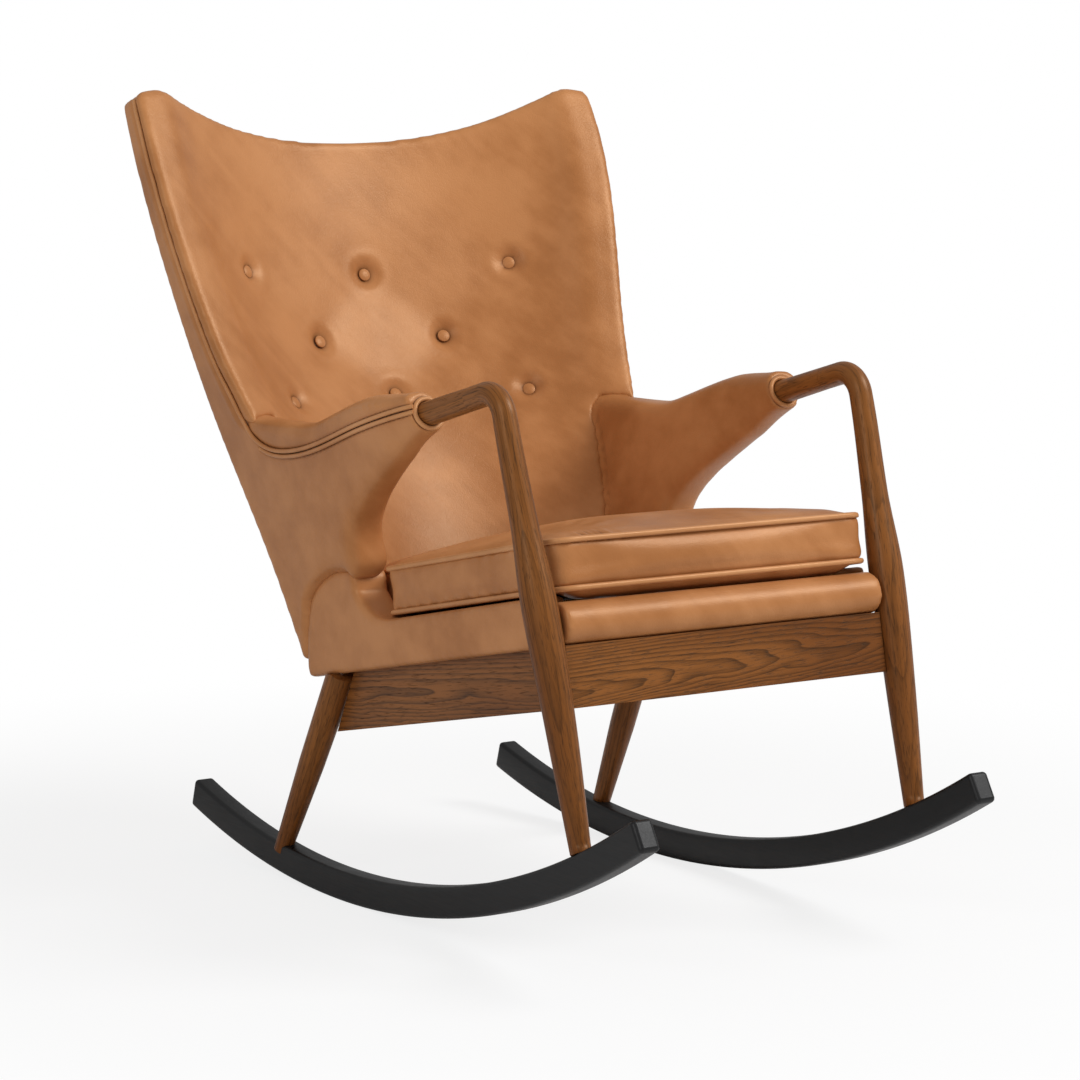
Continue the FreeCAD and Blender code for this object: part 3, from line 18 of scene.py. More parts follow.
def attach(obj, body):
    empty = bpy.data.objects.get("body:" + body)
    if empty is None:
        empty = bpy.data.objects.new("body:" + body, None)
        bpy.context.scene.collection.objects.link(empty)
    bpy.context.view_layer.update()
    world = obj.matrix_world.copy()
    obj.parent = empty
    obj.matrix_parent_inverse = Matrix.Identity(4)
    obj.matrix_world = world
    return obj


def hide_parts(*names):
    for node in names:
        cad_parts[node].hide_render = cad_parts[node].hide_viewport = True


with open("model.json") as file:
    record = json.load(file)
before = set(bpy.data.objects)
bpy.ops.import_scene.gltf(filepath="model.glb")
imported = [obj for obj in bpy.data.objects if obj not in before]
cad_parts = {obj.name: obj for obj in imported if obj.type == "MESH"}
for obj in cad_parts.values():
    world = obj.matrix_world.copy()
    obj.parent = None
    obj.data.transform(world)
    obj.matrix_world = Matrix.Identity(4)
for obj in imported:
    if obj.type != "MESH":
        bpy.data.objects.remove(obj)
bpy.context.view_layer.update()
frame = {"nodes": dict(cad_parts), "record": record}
nodes = frame["nodes"]
SIDES = ((1, "left"), (-1, "right"))
MILLIMETRE = 0.001
print("pieces in the packed model:", len(nodes))

# %% [markdown]
# ## Camera
# The portrait is taken from the chair's front left, a little above the seat, with a long lens that keeps
# the lines calm. Its place and its turn were worked out from the straight edges of the wood.
# %% Camera
CAMERA_PLACE = (-2.5921, -3.9232, 1.0619)
CAMERA_HEADING = math.radians(-33.87)
CAMERA_HEIGHT_ANGLE = math.radians(7.38)
LENS = 119.33
SENSOR = 36.0
LENS_SHIFT = (0.0069, -0.0005)


def make_camera():
    level = math.cos(CAMERA_HEIGHT_ANGLE)
    back = Vector((
        math.sin(CAMERA_HEADING) * level,
        -math.cos(CAMERA_HEADING) * level,
        math.sin(CAMERA_HEIGHT_ANGLE),
    ))
    right = Vector((math.cos(CAMERA_HEADING), math.sin(CAMERA_HEADING), 0))
    up = back.cross(right)
    camera = bpy.data.objects.new("portrait_camera", bpy.data.cameras.new("portrait_camera"))
    camera.data.lens = LENS
    camera.data.sensor_width = SENSOR
    camera.data.shift_x, camera.data.shift_y = LENS_SHIFT
    turn = Matrix((right, up, back)).transposed().to_4x4()
    camera.matrix_world = Matrix.Translation(CAMERA_PLACE) @ turn
    bpy.context.scene.collection.objects.link(camera)
    bpy.context.scene.camera = camera


make_camera()
print("camera stands", round(Vector(CAMERA_PLACE).length, 2), "m from the chair")

# %% [markdown]
# ## Writing a finish as a sum
# A material is a tree of nodes, and a long tree is hard to read. A socket wrapped in a small class
# can be added and multiplied like a number, so a finish reads as the formula that it is.
# %% Shader sums


def shade(red, green, blue):
    """A colour as it looks on a screen, 0 to 255, turned into the light that it stands for."""
    def light(value):
        value = value / 255
        return value / 12.92 if value <= 0.04045 else ((value + 0.055) / 1.055) ** 2.4
    return (light(red), light(green), light(blue), 1.0)


class Signal:
    """A socket that adds and multiplies like a number."""

    def __init__(self, finish, socket):
        self.finish = finish
        self.socket = socket

    def __add__(self, other):
        return self.finish.maths("ADD", self, other)

    def __sub__(self, other):
        return self.finish.maths("SUBTRACT", self, other)

    def __rsub__(self, other):
        return self.finish.maths("SUBTRACT", other, self)

    def __mul__(self, other):
        return self.finish.maths("MULTIPLY", self, other)

    def __truediv__(self, other):
        return self.finish.maths("DIVIDE", self, other)

    __radd__ = __add__
    __rmul__ = __mul__


class Finish:
    """A material, or the sky, under construction."""

    def __init__(self, name, kind="materials"):
        self.material = getattr(bpy.data, kind).new(name)
        self.material.use_nodes = True
        self.tree = self.material.node_tree
        self.tree.nodes.clear()

    def node(self, kind, settings, sockets, out=0):
        made = self.tree.nodes.new(kind)
        for name, value in settings.items():
            setattr(made, name, value)
        for name, value in sockets.items():
            if isinstance(value, Signal):
                self.tree.links.new(value.socket, made.inputs[name])
            else:
                made.inputs[name].default_value = value
        return Signal(self, made.outputs[out]) if len(made.outputs) else None

    def maths(self, operation, first, second=0.0):
        return self.node("ShaderNodeMath", {"operation": operation}, {0: first, 1: second})

    def mix(self, share, first, second):
        settings = {"data_type": "RGBA", "clamp_factor": True}
        return self.node("ShaderNodeMix", settings, {0: share, 6: first, 7: second}, out=2)

    def rise(self, value, low, high):
        """0 below low, 1 above high, and a soft step between."""
        settings = {"interpolation_type": "SMOOTHSTEP"}
        sockets = {"Value": value, "From Min": low, "From Max": high}
        return self.node("ShaderNodeMapRange", settings, sockets)

    def place(self):
        return self.node("ShaderNodeTexCoord", {}, {}, out="Object")

    def along(self, place, direction):
        """How far a place lies in a direction."""
        settings = {"operation": "DOT_PRODUCT"}
        return self.node("ShaderNodeVectorMath", settings, {0: place, 1: tuple(direction)}, out="Value")

    def vector(self, x, y, z):
        return self.node("ShaderNodeCombineXYZ", {}, {"X": x, "Y": y, "Z": z})

    def noise(self, place, scale, detail=2.0, roughness=0.5, twist=0.0):
        sockets = {
            "Vector": place, "Scale": scale, "Detail": detail,
            "Roughness": roughness, "Distortion": twist,
        }
        return self.node("ShaderNodeTexNoise", {}, sockets)

    def stirred(self, place, scale, reach):
        """The place pushed about by a noise, so that a pattern on it loses its straight rows."""
        push = self.node("ShaderNodeTexNoise", {}, {"Vector": place, "Scale": scale}, out="Color")
        push = self.node("ShaderNodeVectorMath", {"operation": "SCALE"}, {0: push, "Scale": reach})
        return self.node("ShaderNodeVectorMath", {"operation": "ADD"}, {0: place, 1: push})

    def cells(self, place, scale):
        """How far a place lies from the border of its cell, in a net of cells."""
        sockets = {"Vector": place, "Scale": scale}
        return self.node("ShaderNodeTexVoronoi", {"feature": "DISTANCE_TO_EDGE"}, sockets, out="Distance")

    def bump(self, height, distance):
        sockets = {"Height": height, "Distance": distance, "Strength": 1.0}
        return self.node("ShaderNodeBump", {}, sockets)

    def surface(self, **sockets):
        """Ends the tree in one principled shader; a word such as Base_Color names its socket."""
        named = {name.replace("_", " "): value for name, value in sockets.items()}
        shader = self.node("ShaderNodeBsdfPrincipled", {}, named)
        self.node("ShaderNodeOutputMaterial", {}, {"Surface": shader})
        return self.material


print("finishes are written as sums of Signals")

# %% [markdown]
# ## Leather
# The hide is a smooth, waxed aniline leather. Its colour clouds softly over a hand's width, and faint
# slanting strokes are left by the waxing. Shade is painted into creases; where the leather is pulled over
# an edge it is painted lighter, partly the stretched hide's own lightening and partly a painted highlight.
# Its grain is a net of fine cells with a few longer wrinkles. The painted shade and highlight come from an
# attribute that each leather mesh carries, so they follow the form exactly.
# %% Leather finish
LEATHER_TONES = {"deep": (100, 56, 25), "hide": (170, 110, 63), "pulled": (193, 132, 83)}
WAX_SHEEN = (255, 218, 178)
LEATHER_ROUGHNESS = 0.35


def make_leather(name, tones, grain=1.0):
    leather = Finish(name)
    place = leather.place()
    clouds = leather.noise(place, 4.2, detail=2.0, twist=0.5)
    patches = leather.noise(place, 17.0, detail=3.0, roughness=0.55)
    slant = leather.vector(
        leather.along(place, (1, 0, 0.9)) * 1.4,
        leather.along(place, (0, 1, 0)),
        leather.along(place, (0.9, 0, -1)) * 0.14,
    )
    strokes = leather.noise(slant, 34.0, detail=3.0)
    hollow_shade = leather.node("ShaderNodeAttribute", {"attribute_name": "hollow_shade"}, {}, out="Fac")
    tone = clouds * 0.55 + patches * 0.28 + strokes * 0.17
    hide = leather.mix(leather.rise(tone, 0.38, 0.64), shade(*tones["hide"]), shade(*tones["pulled"]))
    hide = leather.mix(leather.rise(tone, 0.5, 0.3) * 0.12, hide, shade(*tones["deep"]))
    # Painted shade in the hollows.
    hide = leather.mix(leather.rise(hollow_shade, 0.12, 1.0) * 0.8, hide, shade(*tones["deep"]))
    # Proud edges painted lighter: the stretched hide's own lightening and a painted highlight.
    hide = leather.mix(leather.rise(hollow_shade, -0.1, -0.9) * 0.4, hide, shade(*tones["pulled"]))
    pores = leather.cells(place, 620.0)
    wrinkles = leather.cells(leather.stirred(place, 30.0, 0.02), 150.0)
    height = leather.rise(pores, 0.0, 0.32) * 0.3 + leather.rise(wrinkles, 0.0, 0.14) * 0.3
    height = height + leather.noise(place, 60.0, detail=3.0) * 0.7
    roughness = LEATHER_ROUGHNESS + (patches - 0.5) * 0.16 + leather.rise(hollow_shade, 0.1, 0.9) * 0.15
    return leather.surface(
        Base_Color=hide,
        Roughness=roughness,
        Specular_IOR_Level=0.45,
        Specular_Tint=shade(*WAX_SHEEN),
        Normal=leather.bump(height, 0.00016 * grain),
    )


# %% [markdown]
# A noise pushes the net of wrinkles about, so that no row of cells is straight. The piping is cut from the
# same hide; it is stretched over a cord, so it looks lighter, and painted shade makes the seam beside it a
# dark line.
# %% Leather finishes
leather = make_leather("tan_leather", LEATHER_TONES)
PIPING_TONES = {"deep": (120, 70, 34), "hide": (180, 120, 72), "pulled": (203, 145, 96)}
piping_leather = make_leather("piping_leather", PIPING_TONES, grain=0.7)
print("leather finishes:", leather.name, piping_leather.name)

# %% [markdown]
# ## Walnut
# Oiled walnut shows growth rings cut along their length, a fine fur of dark pores, and a slow change of
# tone from heart to sap. The rings are shells about a pith line that wanders, so a board cut just beside
# that line shows the arched figure of the front rail, and a turned leg shows long flames.
# %% Walnut finish
WALNUT_TONES = {"dark": (48, 25, 9), "body": (108, 60, 24), "light": (140, 86, 40)}
PITH_WANDER = 0.02
STREAK_TONE = (30, 16, 8)
PORE_TONE = (30, 16, 9)
OIL_SHEEN = (255, 214, 170)


def make_walnut(name, grain, pith, bent=False, ring=0.006, figure=0.5):
    """Walnut with its fibres along grain, its rings about a line through the place pith."""
    walnut = Finish(name)
    place = walnut.place()
    if bent:
        place = walnut.node("ShaderNodeAttribute", {"attribute_name": "stick"}, {}, out="Vector")
    grain = Vector(grain).normalized()
    across = grain.cross(Vector((0.31, 0.2, 0.93))).normalized()
    through = grain.cross(across)
    length = walnut.along(place, grain)
    width = walnut.along(place, across)
    depth = walnut.along(place, through)
    fibre = walnut.vector(length * 0.16, width, depth)
    drift = walnut.noise(fibre, 11.0, detail=3.0)
    second = walnut.noise(fibre, 26.0, detail=2.0, twist=0.4)
    side = width - across.dot(Vector(pith)) + (drift - 0.5) * PITH_WANDER
    far = depth - through.dot(Vector(pith)) + (second - 0.5) * PITH_WANDER
    radius = walnut.maths("SQRT", side * side + far * far) + (second - 0.5) * PITH_WANDER * 0.6
    rings = walnut.maths("FRACT", radius / ring + drift * 2)
    late = walnut.rise(rings, 0.3, 0.92) * (1 - walnut.rise(rings, 0.94, 1.0))
    hair = walnut.vector(length * 0.03, width, depth)
    streaks = walnut.noise(hair, 420.0, detail=3.0, roughness=0.65)
    pores = walnut.noise(walnut.vector(length * 0.05, width, depth), 950.0, detail=1.0)
    pore = walnut.rise(pores, 0.58, 0.7)
    tone = walnut.noise(walnut.vector(length * 0.25, width, depth), 9.0, detail=1.0)
    body, light = shade(*WALNUT_TONES["body"]), shade(*WALNUT_TONES["light"])
    dark = shade(*WALNUT_TONES["dark"])
    colour = walnut.mix(walnut.rise(tone, 0.3, 0.7), body, light)
    colour = walnut.mix(late * (streaks * 0.6 + 0.25) * figure, colour, dark)
    colour = walnut.mix(walnut.rise(streaks, 0.48, 0.74) * 0.5, colour, dark)
    edge = walnut.rise(rings, 0.8, 0.93) * (1 - walnut.rise(rings, 0.95, 1.0))
    colour = walnut.mix(edge * streaks * (0.8 * figure), colour, shade(*STREAK_TONE))
    colour = walnut.mix(pore * 0.55, colour, shade(*PORE_TONE))
    height = streaks * 0.25 - pore * 0.8
    return walnut.surface(
        Base_Color=colour,
        Roughness=0.37 + pore * 0.25 + (streaks - 0.5) * 0.12,
        Specular_IOR_Level=0.35,
        Specular_Tint=shade(*OIL_SHEEN),
        Coat_Weight=0.04,
        Coat_Roughness=0.25,
        Normal=walnut.bump(height, 0.0001),
    )


# %% [markdown]
# Each stick of wood is cut along its own length, so each gets the same finish turned to its own axis.
# The front rail's pith lies just behind its face, so its rings open into arches there. The posts and arm
# rails are bent: their figure follows the bend, by an attribute that holds a place in the straight stick.
# %% Walnut sticks
GRAINS = {
    "front_post_left": ((0.012, 0.02, 1), (0.025, 0.018, 0), True),
    "front_post_right": ((-0.015, 0.02, 1), (-0.022, -0.03, 0), True),
    "arm_rail_left": ((0.012, 0.02, 1), (0.025, 0.018, 0), True),
    "arm_rail_right": ((-0.015, 0.02, 1), (-0.022, -0.03, 0), True),
    "rear_leg_left": ((-0.06, -0.45, 1), (0.23, 0.1, 0.17)),
    "rear_leg_right": ((0.06, -0.45, 1), (-0.26, 0.07, 0.17)),
    "front_apron": ((1, 0.05, 0.04), (0.05, -0.462, 0.352), False, 0.0034, 0.9),
    "rear_apron": ((1, 0.02, 0.03), (0, 0.03, 0.27)),
    "side_apron_left": ((0, 1, -0.2), (0.2, -0.2, 0.28), False, 0.0045, 0.9),
    "side_apron_right": ((0, 1, -0.16), (-0.215, -0.2, 0.30), False, 0.0045, 0.9),
}
walnuts = {node: make_walnut("walnut_" + node, *cut) for node, cut in GRAINS.items()}


def wear(piece, finish):
    """Puts one finish on the whole of a piece."""
    piece.data.materials.clear()
    piece.data.materials.append(finish)


for node, walnut in walnuts.items():
    wear(nodes[node], walnut)
print("walnut pieces:", len(walnuts))

# %% [markdown]
# ## Black rockers
# The rockers are stained black under a satin lacquer. A little of the wood's grain still stands in the
# surface, and the sheen breaks up along it.
# %% Rocker finish


def make_black():
    black = Finish("black_lacquer")
    place = black.place()
    length = black.along(place, (0, 1, 0))
    fibre = black.vector(black.along(place, (1, 0, 0)), length * 0.05, black.along(place, (0, 0, 1)))
    grain = black.noise(fibre, 500.0, detail=3.0)
    cloud = black.noise(place, 18.0, detail=3.0)
    colour = black.mix(cloud, shade(8, 8, 9), shade(17, 17, 18))
    return black.surface(
        Base_Color=colour,
        Roughness=0.42 + (grain - 0.5) * 0.2 + (cloud - 0.5) * 0.15,
        Specular_IOR_Level=0.35,
        Normal=black.bump(grain, 0.00008),
    )


black_lacquer = make_black()
print("rockers get", black_lacquer.name)

# %% [markdown]
# ## What the chair holds inside
# Frame wood is plain pale beech, webbing is woven jute, the deck is black cambric, and the fasteners are
# bright zinc. They show only from below or behind, but each still gets its own weave or grain.
# %% Inner finishes


def make_beech():
    beech = Finish("frame_beech")
    place = beech.place()
    flecks = beech.noise(place, 260.0, detail=2.0)
    cloud = beech.noise(place, 12.0, detail=3.0)
    colour = beech.mix(cloud, shade(196, 158, 112), shade(216, 184, 140))
    colour = beech.mix(beech.rise(flecks, 0.6, 0.75) * 0.5, colour, shade(160, 118, 76))
    return beech.surface(Base_Color=colour, Roughness=0.6 + (flecks - 0.5) * 0.2)


def make_weave(name, dark, light, pitch):
    """Two sets of threads, over and under."""
    cloth = Finish(name)
    place = cloth.place()
    turn = 2 * math.pi / pitch
    warp = cloth.maths("SINE", cloth.along(place, (turn, 0, 0)))
    weft = cloth.maths("SINE", cloth.along(place, (0, turn * 0.96, turn * 0.3)))
    over = cloth.rise(warp * weft, -0.6, 0.6)
    slub = cloth.noise(place, 150.0, detail=3.0)
    colour = cloth.mix(over * 0.7 + slub * 0.3, shade(*dark), shade(*light))
    return cloth.surface(Base_Color=colour, Roughness=0.85, Normal=cloth.bump(over, 0.0004))


def make_zinc():
    zinc = Finish("bright_zinc")
    place = zinc.place()
    haze = zinc.noise(place, 300.0, detail=3.0)
    colour = zinc.mix(haze, shade(168, 168, 166), shade(200, 200, 198))
    return zinc.surface(Base_Color=colour, Metallic=1.0, Roughness=0.28 + (haze - 0.5) * 0.25)


def make_foam():
    foam = Finish("seat_foam")
    place = foam.place()
    bubbles = foam.cells(place, 600.0)
    colour = foam.mix(foam.noise(place, 10.0), shade(222, 210, 178), shade(236, 226, 198))
    return foam.surface(Base_Color=colour, Roughness=0.9, Normal=foam.bump(bubbles, 0.0006))


inner_finishes = {
    "frame_wood": make_beech(),
    "webbing": make_weave("jute_webbing", (128, 96, 58), (176, 140, 92), 0.003),
    "deck_cloth": make_weave("deck_cambric", (28, 27, 26), (52, 50, 47), 0.0012),
    "steel": make_zinc(),
    "filling": make_foam(),
}
slots = {part["node"]: part.get("material_slot") for part in frame["record"]["subparts"] if "node" in part}
for node, thing in nodes.items():
    finish = inner_finishes.get(slots.get(node))
    if finish:
        wear(thing, finish)
print("inner pieces:", sum(1 for slot in slots.values() if slot in inner_finishes))

# %% [markdown]
# ## Long pieces that follow a path
# A turned post, a rail, a rocker and a piping cord are all one section carried along a path. Geometry Nodes
# do that once for all of them: the path's points hold a girth, and the tree scales its section by it.
# %% A node tree for swept pieces


def link_new(thing):
    bpy.context.scene.collection.objects.link(thing)
    return thing


def applied(piece):
    """The piece's modifiers turned into plain mesh."""
    graph = bpy.context.evaluated_depsgraph_get()
    mesh = bpy.data.meshes.new_from_object(piece.evaluated_get(graph))
    mesh.name = piece.name
    piece.modifiers.clear()
    piece.data = mesh
    return piece


def add(piece, kind, **settings):
    modifier = piece.modifiers.new(kind.title(), kind)
    for name, value in settings.items():
        setattr(modifier, name, value)


def points_of(piece):
    flat = np.empty(len(piece.data.vertices) * 3)
    piece.data.vertices.foreach_get("co", flat)
    return flat.reshape(-1, 3)


def set_points(piece, points):
    piece.data.vertices.foreach_set("co", points.ravel())
    piece.data.update()


def normals_of(piece):
    flat = np.empty(len(piece.data.vertices) * 3)
    piece.data.vertices.foreach_get("normal", flat)
    return flat.reshape(-1, 3)


class FormTree:
    """A Geometry Nodes tree under construction."""

    def __init__(self, name, inputs):
        self.group = bpy.data.node_groups.new(name, "GeometryNodeTree")
        sockets = self.group.interface
        sockets.new_socket("Path", in_out="INPUT", socket_type="NodeSocketGeometry")
        for label, kind in inputs.items():
            sockets.new_socket(label, in_out="INPUT", socket_type="NodeSocket" + kind)
        sockets.new_socket("Form", in_out="OUTPUT", socket_type="NodeSocketGeometry")
        self.given = self.group.nodes.new("NodeGroupInput")

    def node(self, kind, settings, sockets, out=0):
        made = self.group.nodes.new(kind)
        for name, value in settings.items():
            setattr(made, name, value)
        for name, value in sockets.items():
            if isinstance(value, bpy.types.NodeSocket):
                self.group.links.new(value, made.inputs[name])
            else:
                made.inputs[name].default_value = value
        return made.outputs[out] if len(made.outputs) else None

    def take(self, label):
        return self.given.outputs[label]

    def end(self, mesh):
        """Every tree ends as real mesh in one material."""
        smooth = self.node("GeometryNodeSetShadeSmooth", {}, {"Geometry": mesh})
        real = self.node("GeometryNodeRealizeInstances", {}, {"Geometry": smooth})
        sockets = {"Geometry": real, "Material": self.take("Material")}
        dressed = self.node("GeometryNodeSetMaterial", {}, sockets)
        self.node("NodeGroupOutput", {}, {"Form": dressed})
        return self.group


def baked(name, points, girths, group, closed=False, **inputs):
    """Runs a tree on a path of points, and keeps the plain mesh that comes out."""
    path = bpy.data.meshes.new(name)
    steps = [(n, n + 1) for n in range(len(points) - 1)]
    if closed:
        steps.append((len(points) - 1, 0))
    path.from_pydata([tuple(point) for point in points], steps, [])
    girth = path.attributes.new("girth", "FLOAT", "POINT")
    girth.data.foreach_set("value", np.asarray(girths, dtype=np.float32))
    piece = link_new(bpy.data.objects.new(name, path))
    modifier = piece.modifiers.new("Form", "NODES")
    modifier.node_group = group
    for socket in group.interface.items_tree:
        if socket.name in inputs:
            modifier[socket.identifier] = inputs[socket.name]
    return applied(piece)


# %% [markdown]
# A round section serves the posts, the rails and the piping. The rockers get a board's section with
# rounded edges, set upright by turning every normal of the path level.
# %% Round and board sections


def round_tree():
    tree = FormTree("round_stick", {"Sides": "Int", "Material": "Material"})
    path = tree.node("GeometryNodeMeshToCurve", {}, {"Mesh": tree.take("Path")})
    sockets = {"Resolution": tree.take("Sides"), "Radius": 1.0}
    ring = tree.node("GeometryNodeCurvePrimitiveCircle", {"mode": "RADIUS"}, sockets)
    girth = tree.node("GeometryNodeInputNamedAttribute", {"data_type": "FLOAT"}, {"Name": "girth"})
    sockets = {"Curve": path, "Profile Curve": ring, "Scale": girth, "Fill Caps": True}
    return tree.end(tree.node("GeometryNodeCurveToMesh", {}, sockets))


def board_tree():
    inputs = {"Wide": "Float", "Deep": "Float", "Round": "Float", "Material": "Material"}
    tree = FormTree("board_on_edge", inputs)
    path = tree.node("GeometryNodeMeshToCurve", {}, {"Mesh": tree.take("Path")})
    path = tree.node("GeometryNodeSetCurveNormal", {"mode": "Z_UP"}, {"Curve": path})
    sockets = {"Width": tree.take("Wide"), "Height": tree.take("Deep")}
    section = tree.node("GeometryNodeCurvePrimitiveQuadrilateral", {"mode": "RECTANGLE"}, sockets)
    sockets = {"Curve": section, "Count": 5, "Radius": tree.take("Round")}
    section = tree.node("GeometryNodeFilletCurve", {"mode": "POLY"}, sockets)
    sockets = {"Curve": path, "Profile Curve": section, "Fill Caps": True}
    return tree.end(tree.node("GeometryNodeCurveToMesh", {}, sockets))


ROUND_STICK = round_tree()
BOARD_ON_EDGE = board_tree()
print("trees:", ROUND_STICK.name, BOARD_ON_EDGE.name)

# %% [markdown]
# ## Front posts and arm rails
# Each post leans back, swells at the seat, thins at the neck and bends over at the knee into the arm.
# A smooth line is drawn through five stations, then a round bend is added, and the girth follows the same
# stations without overshooting them.
# %% Smooth lines through stations


def smooth_line(stations, first, last, steps):
    """Points on a cubic curve through stations, with given directions at both ends."""
    stations = np.array(stations)
    runs = np.linalg.norm(np.diff(stations, axis=0), axis=1)
    count = len(stations)
    system = np.zeros((count, count))
    known = np.zeros((count, 3))
    system[0, 0] = system[-1, -1] = 1
    known[0], known[-1] = first, last
    for n in range(1, count - 1):
        before, after = runs[n - 1], runs[n]
        system[n, n - 1:n + 2] = after, 2 * (before + after), before
        rise = (stations[n + 1] - stations[n]) * before / after
        rise = rise + (stations[n] - stations[n - 1]) * after / before
        known[n] = 3 * rise
    slopes = np.linalg.solve(system, known)
    points, places = [], []
    for n, run in enumerate(runs):
        for t in np.linspace(0, 1, steps, endpoint=n == count - 2):
            start = (1 + 2 * t) * (1 - t) ** 2 * stations[n] + t * (1 - t) ** 2 * run * slopes[n]
            end = t * t * (3 - 2 * t) * stations[n + 1] + t * t * (t - 1) * run * slopes[n + 1]
            points.append(start + end)
            places.append(n + t)
    return np.array(points), np.array(places)


def eased(values, place):
    """A value between stations that never overshoots them; place counts stations."""
    n = min(int(place), len(values) - 2)
    t = place - n
    rises = np.diff(values)
    middle = [2 * a * b / (a + b) if a * b > 0 else 0 for a, b in zip(rises, rises[1:])]
    slopes = [rises[0], *middle, rises[-1]]
    start = (1 + 2 * t) * (1 - t) ** 2 * values[n] + t * (1 - t) ** 2 * slopes[n]
    return start + t * t * (3 - 2 * t) * values[n + 1] + t * t * (t - 1) * slopes[n + 1]


# %% Post and rail stations
ROCKER_RADIUS = 1.338
ROCKER_DEPTH = 0.040
ROCKER_THICK = 0.029
ROCKER_ACROSS = 0.252
ROCKER_ENDS = (-0.681, 0.393)
ROCKER_ROUND = 0.0055
ROCKER_STEPS = 90
FOOT_SINK = 0.006
HAIR = 0.0001


def rocker_top(y):
    """The height of a rocker's upper face."""
    return ROCKER_RADIUS - np.sqrt((ROCKER_RADIUS - ROCKER_DEPTH) ** 2 - y ** 2)


POST_STATIONS = [
    (0.253, -0.540, rocker_top(-0.540)),
    (0.258, -0.503, 0.311),
    (0.263, -0.468, 0.442),
    (0.266, -0.439, 0.541),
]
POST_GIRTHS = (0.013, 0.019, 0.022, 0.01675, 0.01475)
KNEE = np.array((0.270, -0.395, 0.6945))
KNEE_BEND = 0.034
POST_LEAN = math.radians(16.5)
RAIL_FALL = math.radians(15)
RAIL_JOINT_RUN = 0.062
RAIL_END = np.array((0.276, -0.167, KNEE[2] - 0.228 * math.tan(RAIL_FALL)))
RAIL_END_GIRTH = 0.01625


def leaning(angle):
    """A direction in the chair's side plane, turned back from straight up."""
    return np.array((0, math.sin(angle), math.cos(angle)))


def unit(vector):
    return np.array(vector) / np.linalg.norm(vector)


# %% Posts and rails
post_up = leaning(POST_LEAN)
rail_back = leaning(math.pi / 2 + RAIL_FALL)
knee_turn = math.pi / 2 + RAIL_FALL - POST_LEAN
knee_start = KNEE - post_up * KNEE_BEND * math.tan(knee_turn / 2)
knee_centre = knee_start + leaning(math.pi / 2 + POST_LEAN) * KNEE_BEND
rail_joint = KNEE + rail_back * RAIL_JOINT_RUN


def post_path():
    """The post from its foot, a little inside the rocker, over the knee to the rail."""
    stations = POST_STATIONS + [tuple(knee_start)]
    foot_rise = unit(np.subtract(stations[1], stations[0]))
    points, places = smooth_line(stations, foot_rise, post_up, 12)
    girths = [eased(POST_GIRTHS, place) for place in places]
    points = [points[0] - foot_rise * FOOT_SINK, *points]
    girths = [girths[0], *girths]
    for share in np.linspace(0, 1, 15)[1:]:
        angle = POST_LEAN + knee_turn * share
        points.append(knee_centre - leaning(math.pi / 2 + angle) * KNEE_BEND)
        girths.append(POST_GIRTHS[-1])
    points.append(rail_joint)
    girths.append(POST_GIRTHS[-1])
    return np.array(points), girths


def rail_path():
    shares = np.linspace(0, 1, 9)
    start = rail_joint + rail_back * HAIR
    points = [start + (RAIL_END - start) * share for share in shares]
    girths = [POST_GIRTHS[-1] + (RAIL_END_GIRTH - POST_GIRTHS[-1]) * share for share in shares]
    return np.array(points), girths


def foot_cut(piece):
    """Sets the lowest points of a post on the rocker's curved top."""
    points = points_of(piece)
    floor = rocker_top(points[:, 1]) + HAIR
    points[:, 2] = np.maximum(points[:, 2], floor)
    set_points(piece, points)


STICK_SIDES = 40


def mark_stick(piece, points, girths, start):
    """Writes each point's place in the stick before it was bent: across, across and along."""
    runs = start + np.concatenate([[0], np.cumsum(np.linalg.norm(np.diff(points, axis=0), axis=1))])
    turns = np.linspace(0, 2 * math.pi, STICK_SIDES, endpoint=False)
    ring = np.stack([np.cos(turns), np.sin(turns)], axis=1)
    stick = np.zeros((len(points), STICK_SIDES, 3))
    stick[:, :, :2] = np.asarray(girths)[:, None, None] * ring
    stick[:, :, 2] = runs[:, None]
    layer = piece.data.attributes.new("stick", "FLOAT_VECTOR", "POINT")
    layer.data.foreach_set("vector", stick.astype(np.float32).ravel())
    return runs[-1]


for side, label in SIDES:
    run = 0
    for kind, path in (("front_post", post_path), ("arm_rail", rail_path)):
        node = kind + "_" + label
        points, girths = path()
        points[:, 0] *= side
        sockets = {"Sides": STICK_SIDES, "Material": walnuts[node]}
        piece = baked("turned_" + node, points, girths, ROUND_STICK, **sockets)
        run = mark_stick(piece, points, girths, run)
        if kind == "front_post":
            foot_cut(piece)
        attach(piece, "chair")
        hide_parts(node)
        print("turned", node, len(piece.data.polygons), "faces")

# %% [markdown]
# ## Rockers
# A rocker is a board sawn to a wide arc. Its section is carried along the arc, and its two end faces are
# softened by a bevel.
# %% Rockers


def rocker_path(side):
    middle = ROCKER_RADIUS - ROCKER_DEPTH / 2
    ends = [math.asin(y / ROCKER_RADIUS) for y in ROCKER_ENDS]
    turns = np.linspace(*ends, ROCKER_STEPS)
    across = np.full(ROCKER_STEPS, side * ROCKER_ACROSS)
    return np.stack([across, middle * np.sin(turns), ROCKER_RADIUS - middle * np.cos(turns)], axis=1)


for side, label in SIDES:
    name = "bent_rocker_" + label
    sizes = {"Wide": ROCKER_THICK, "Deep": ROCKER_DEPTH, "Round": ROCKER_ROUND}
    girths = [1.0] * ROCKER_STEPS
    piece = baked(name, rocker_path(side), girths, BOARD_ON_EDGE, Material=black_lacquer, **sizes)
    add(piece, "BEVEL", width=0.006, segments=4, angle_limit=math.radians(60))
    applied(piece)
    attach(piece, "chair")
    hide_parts("rocker_" + label)
    print(name, [round(value, 4) for value in np.ptp(points_of(piece), axis=0)])
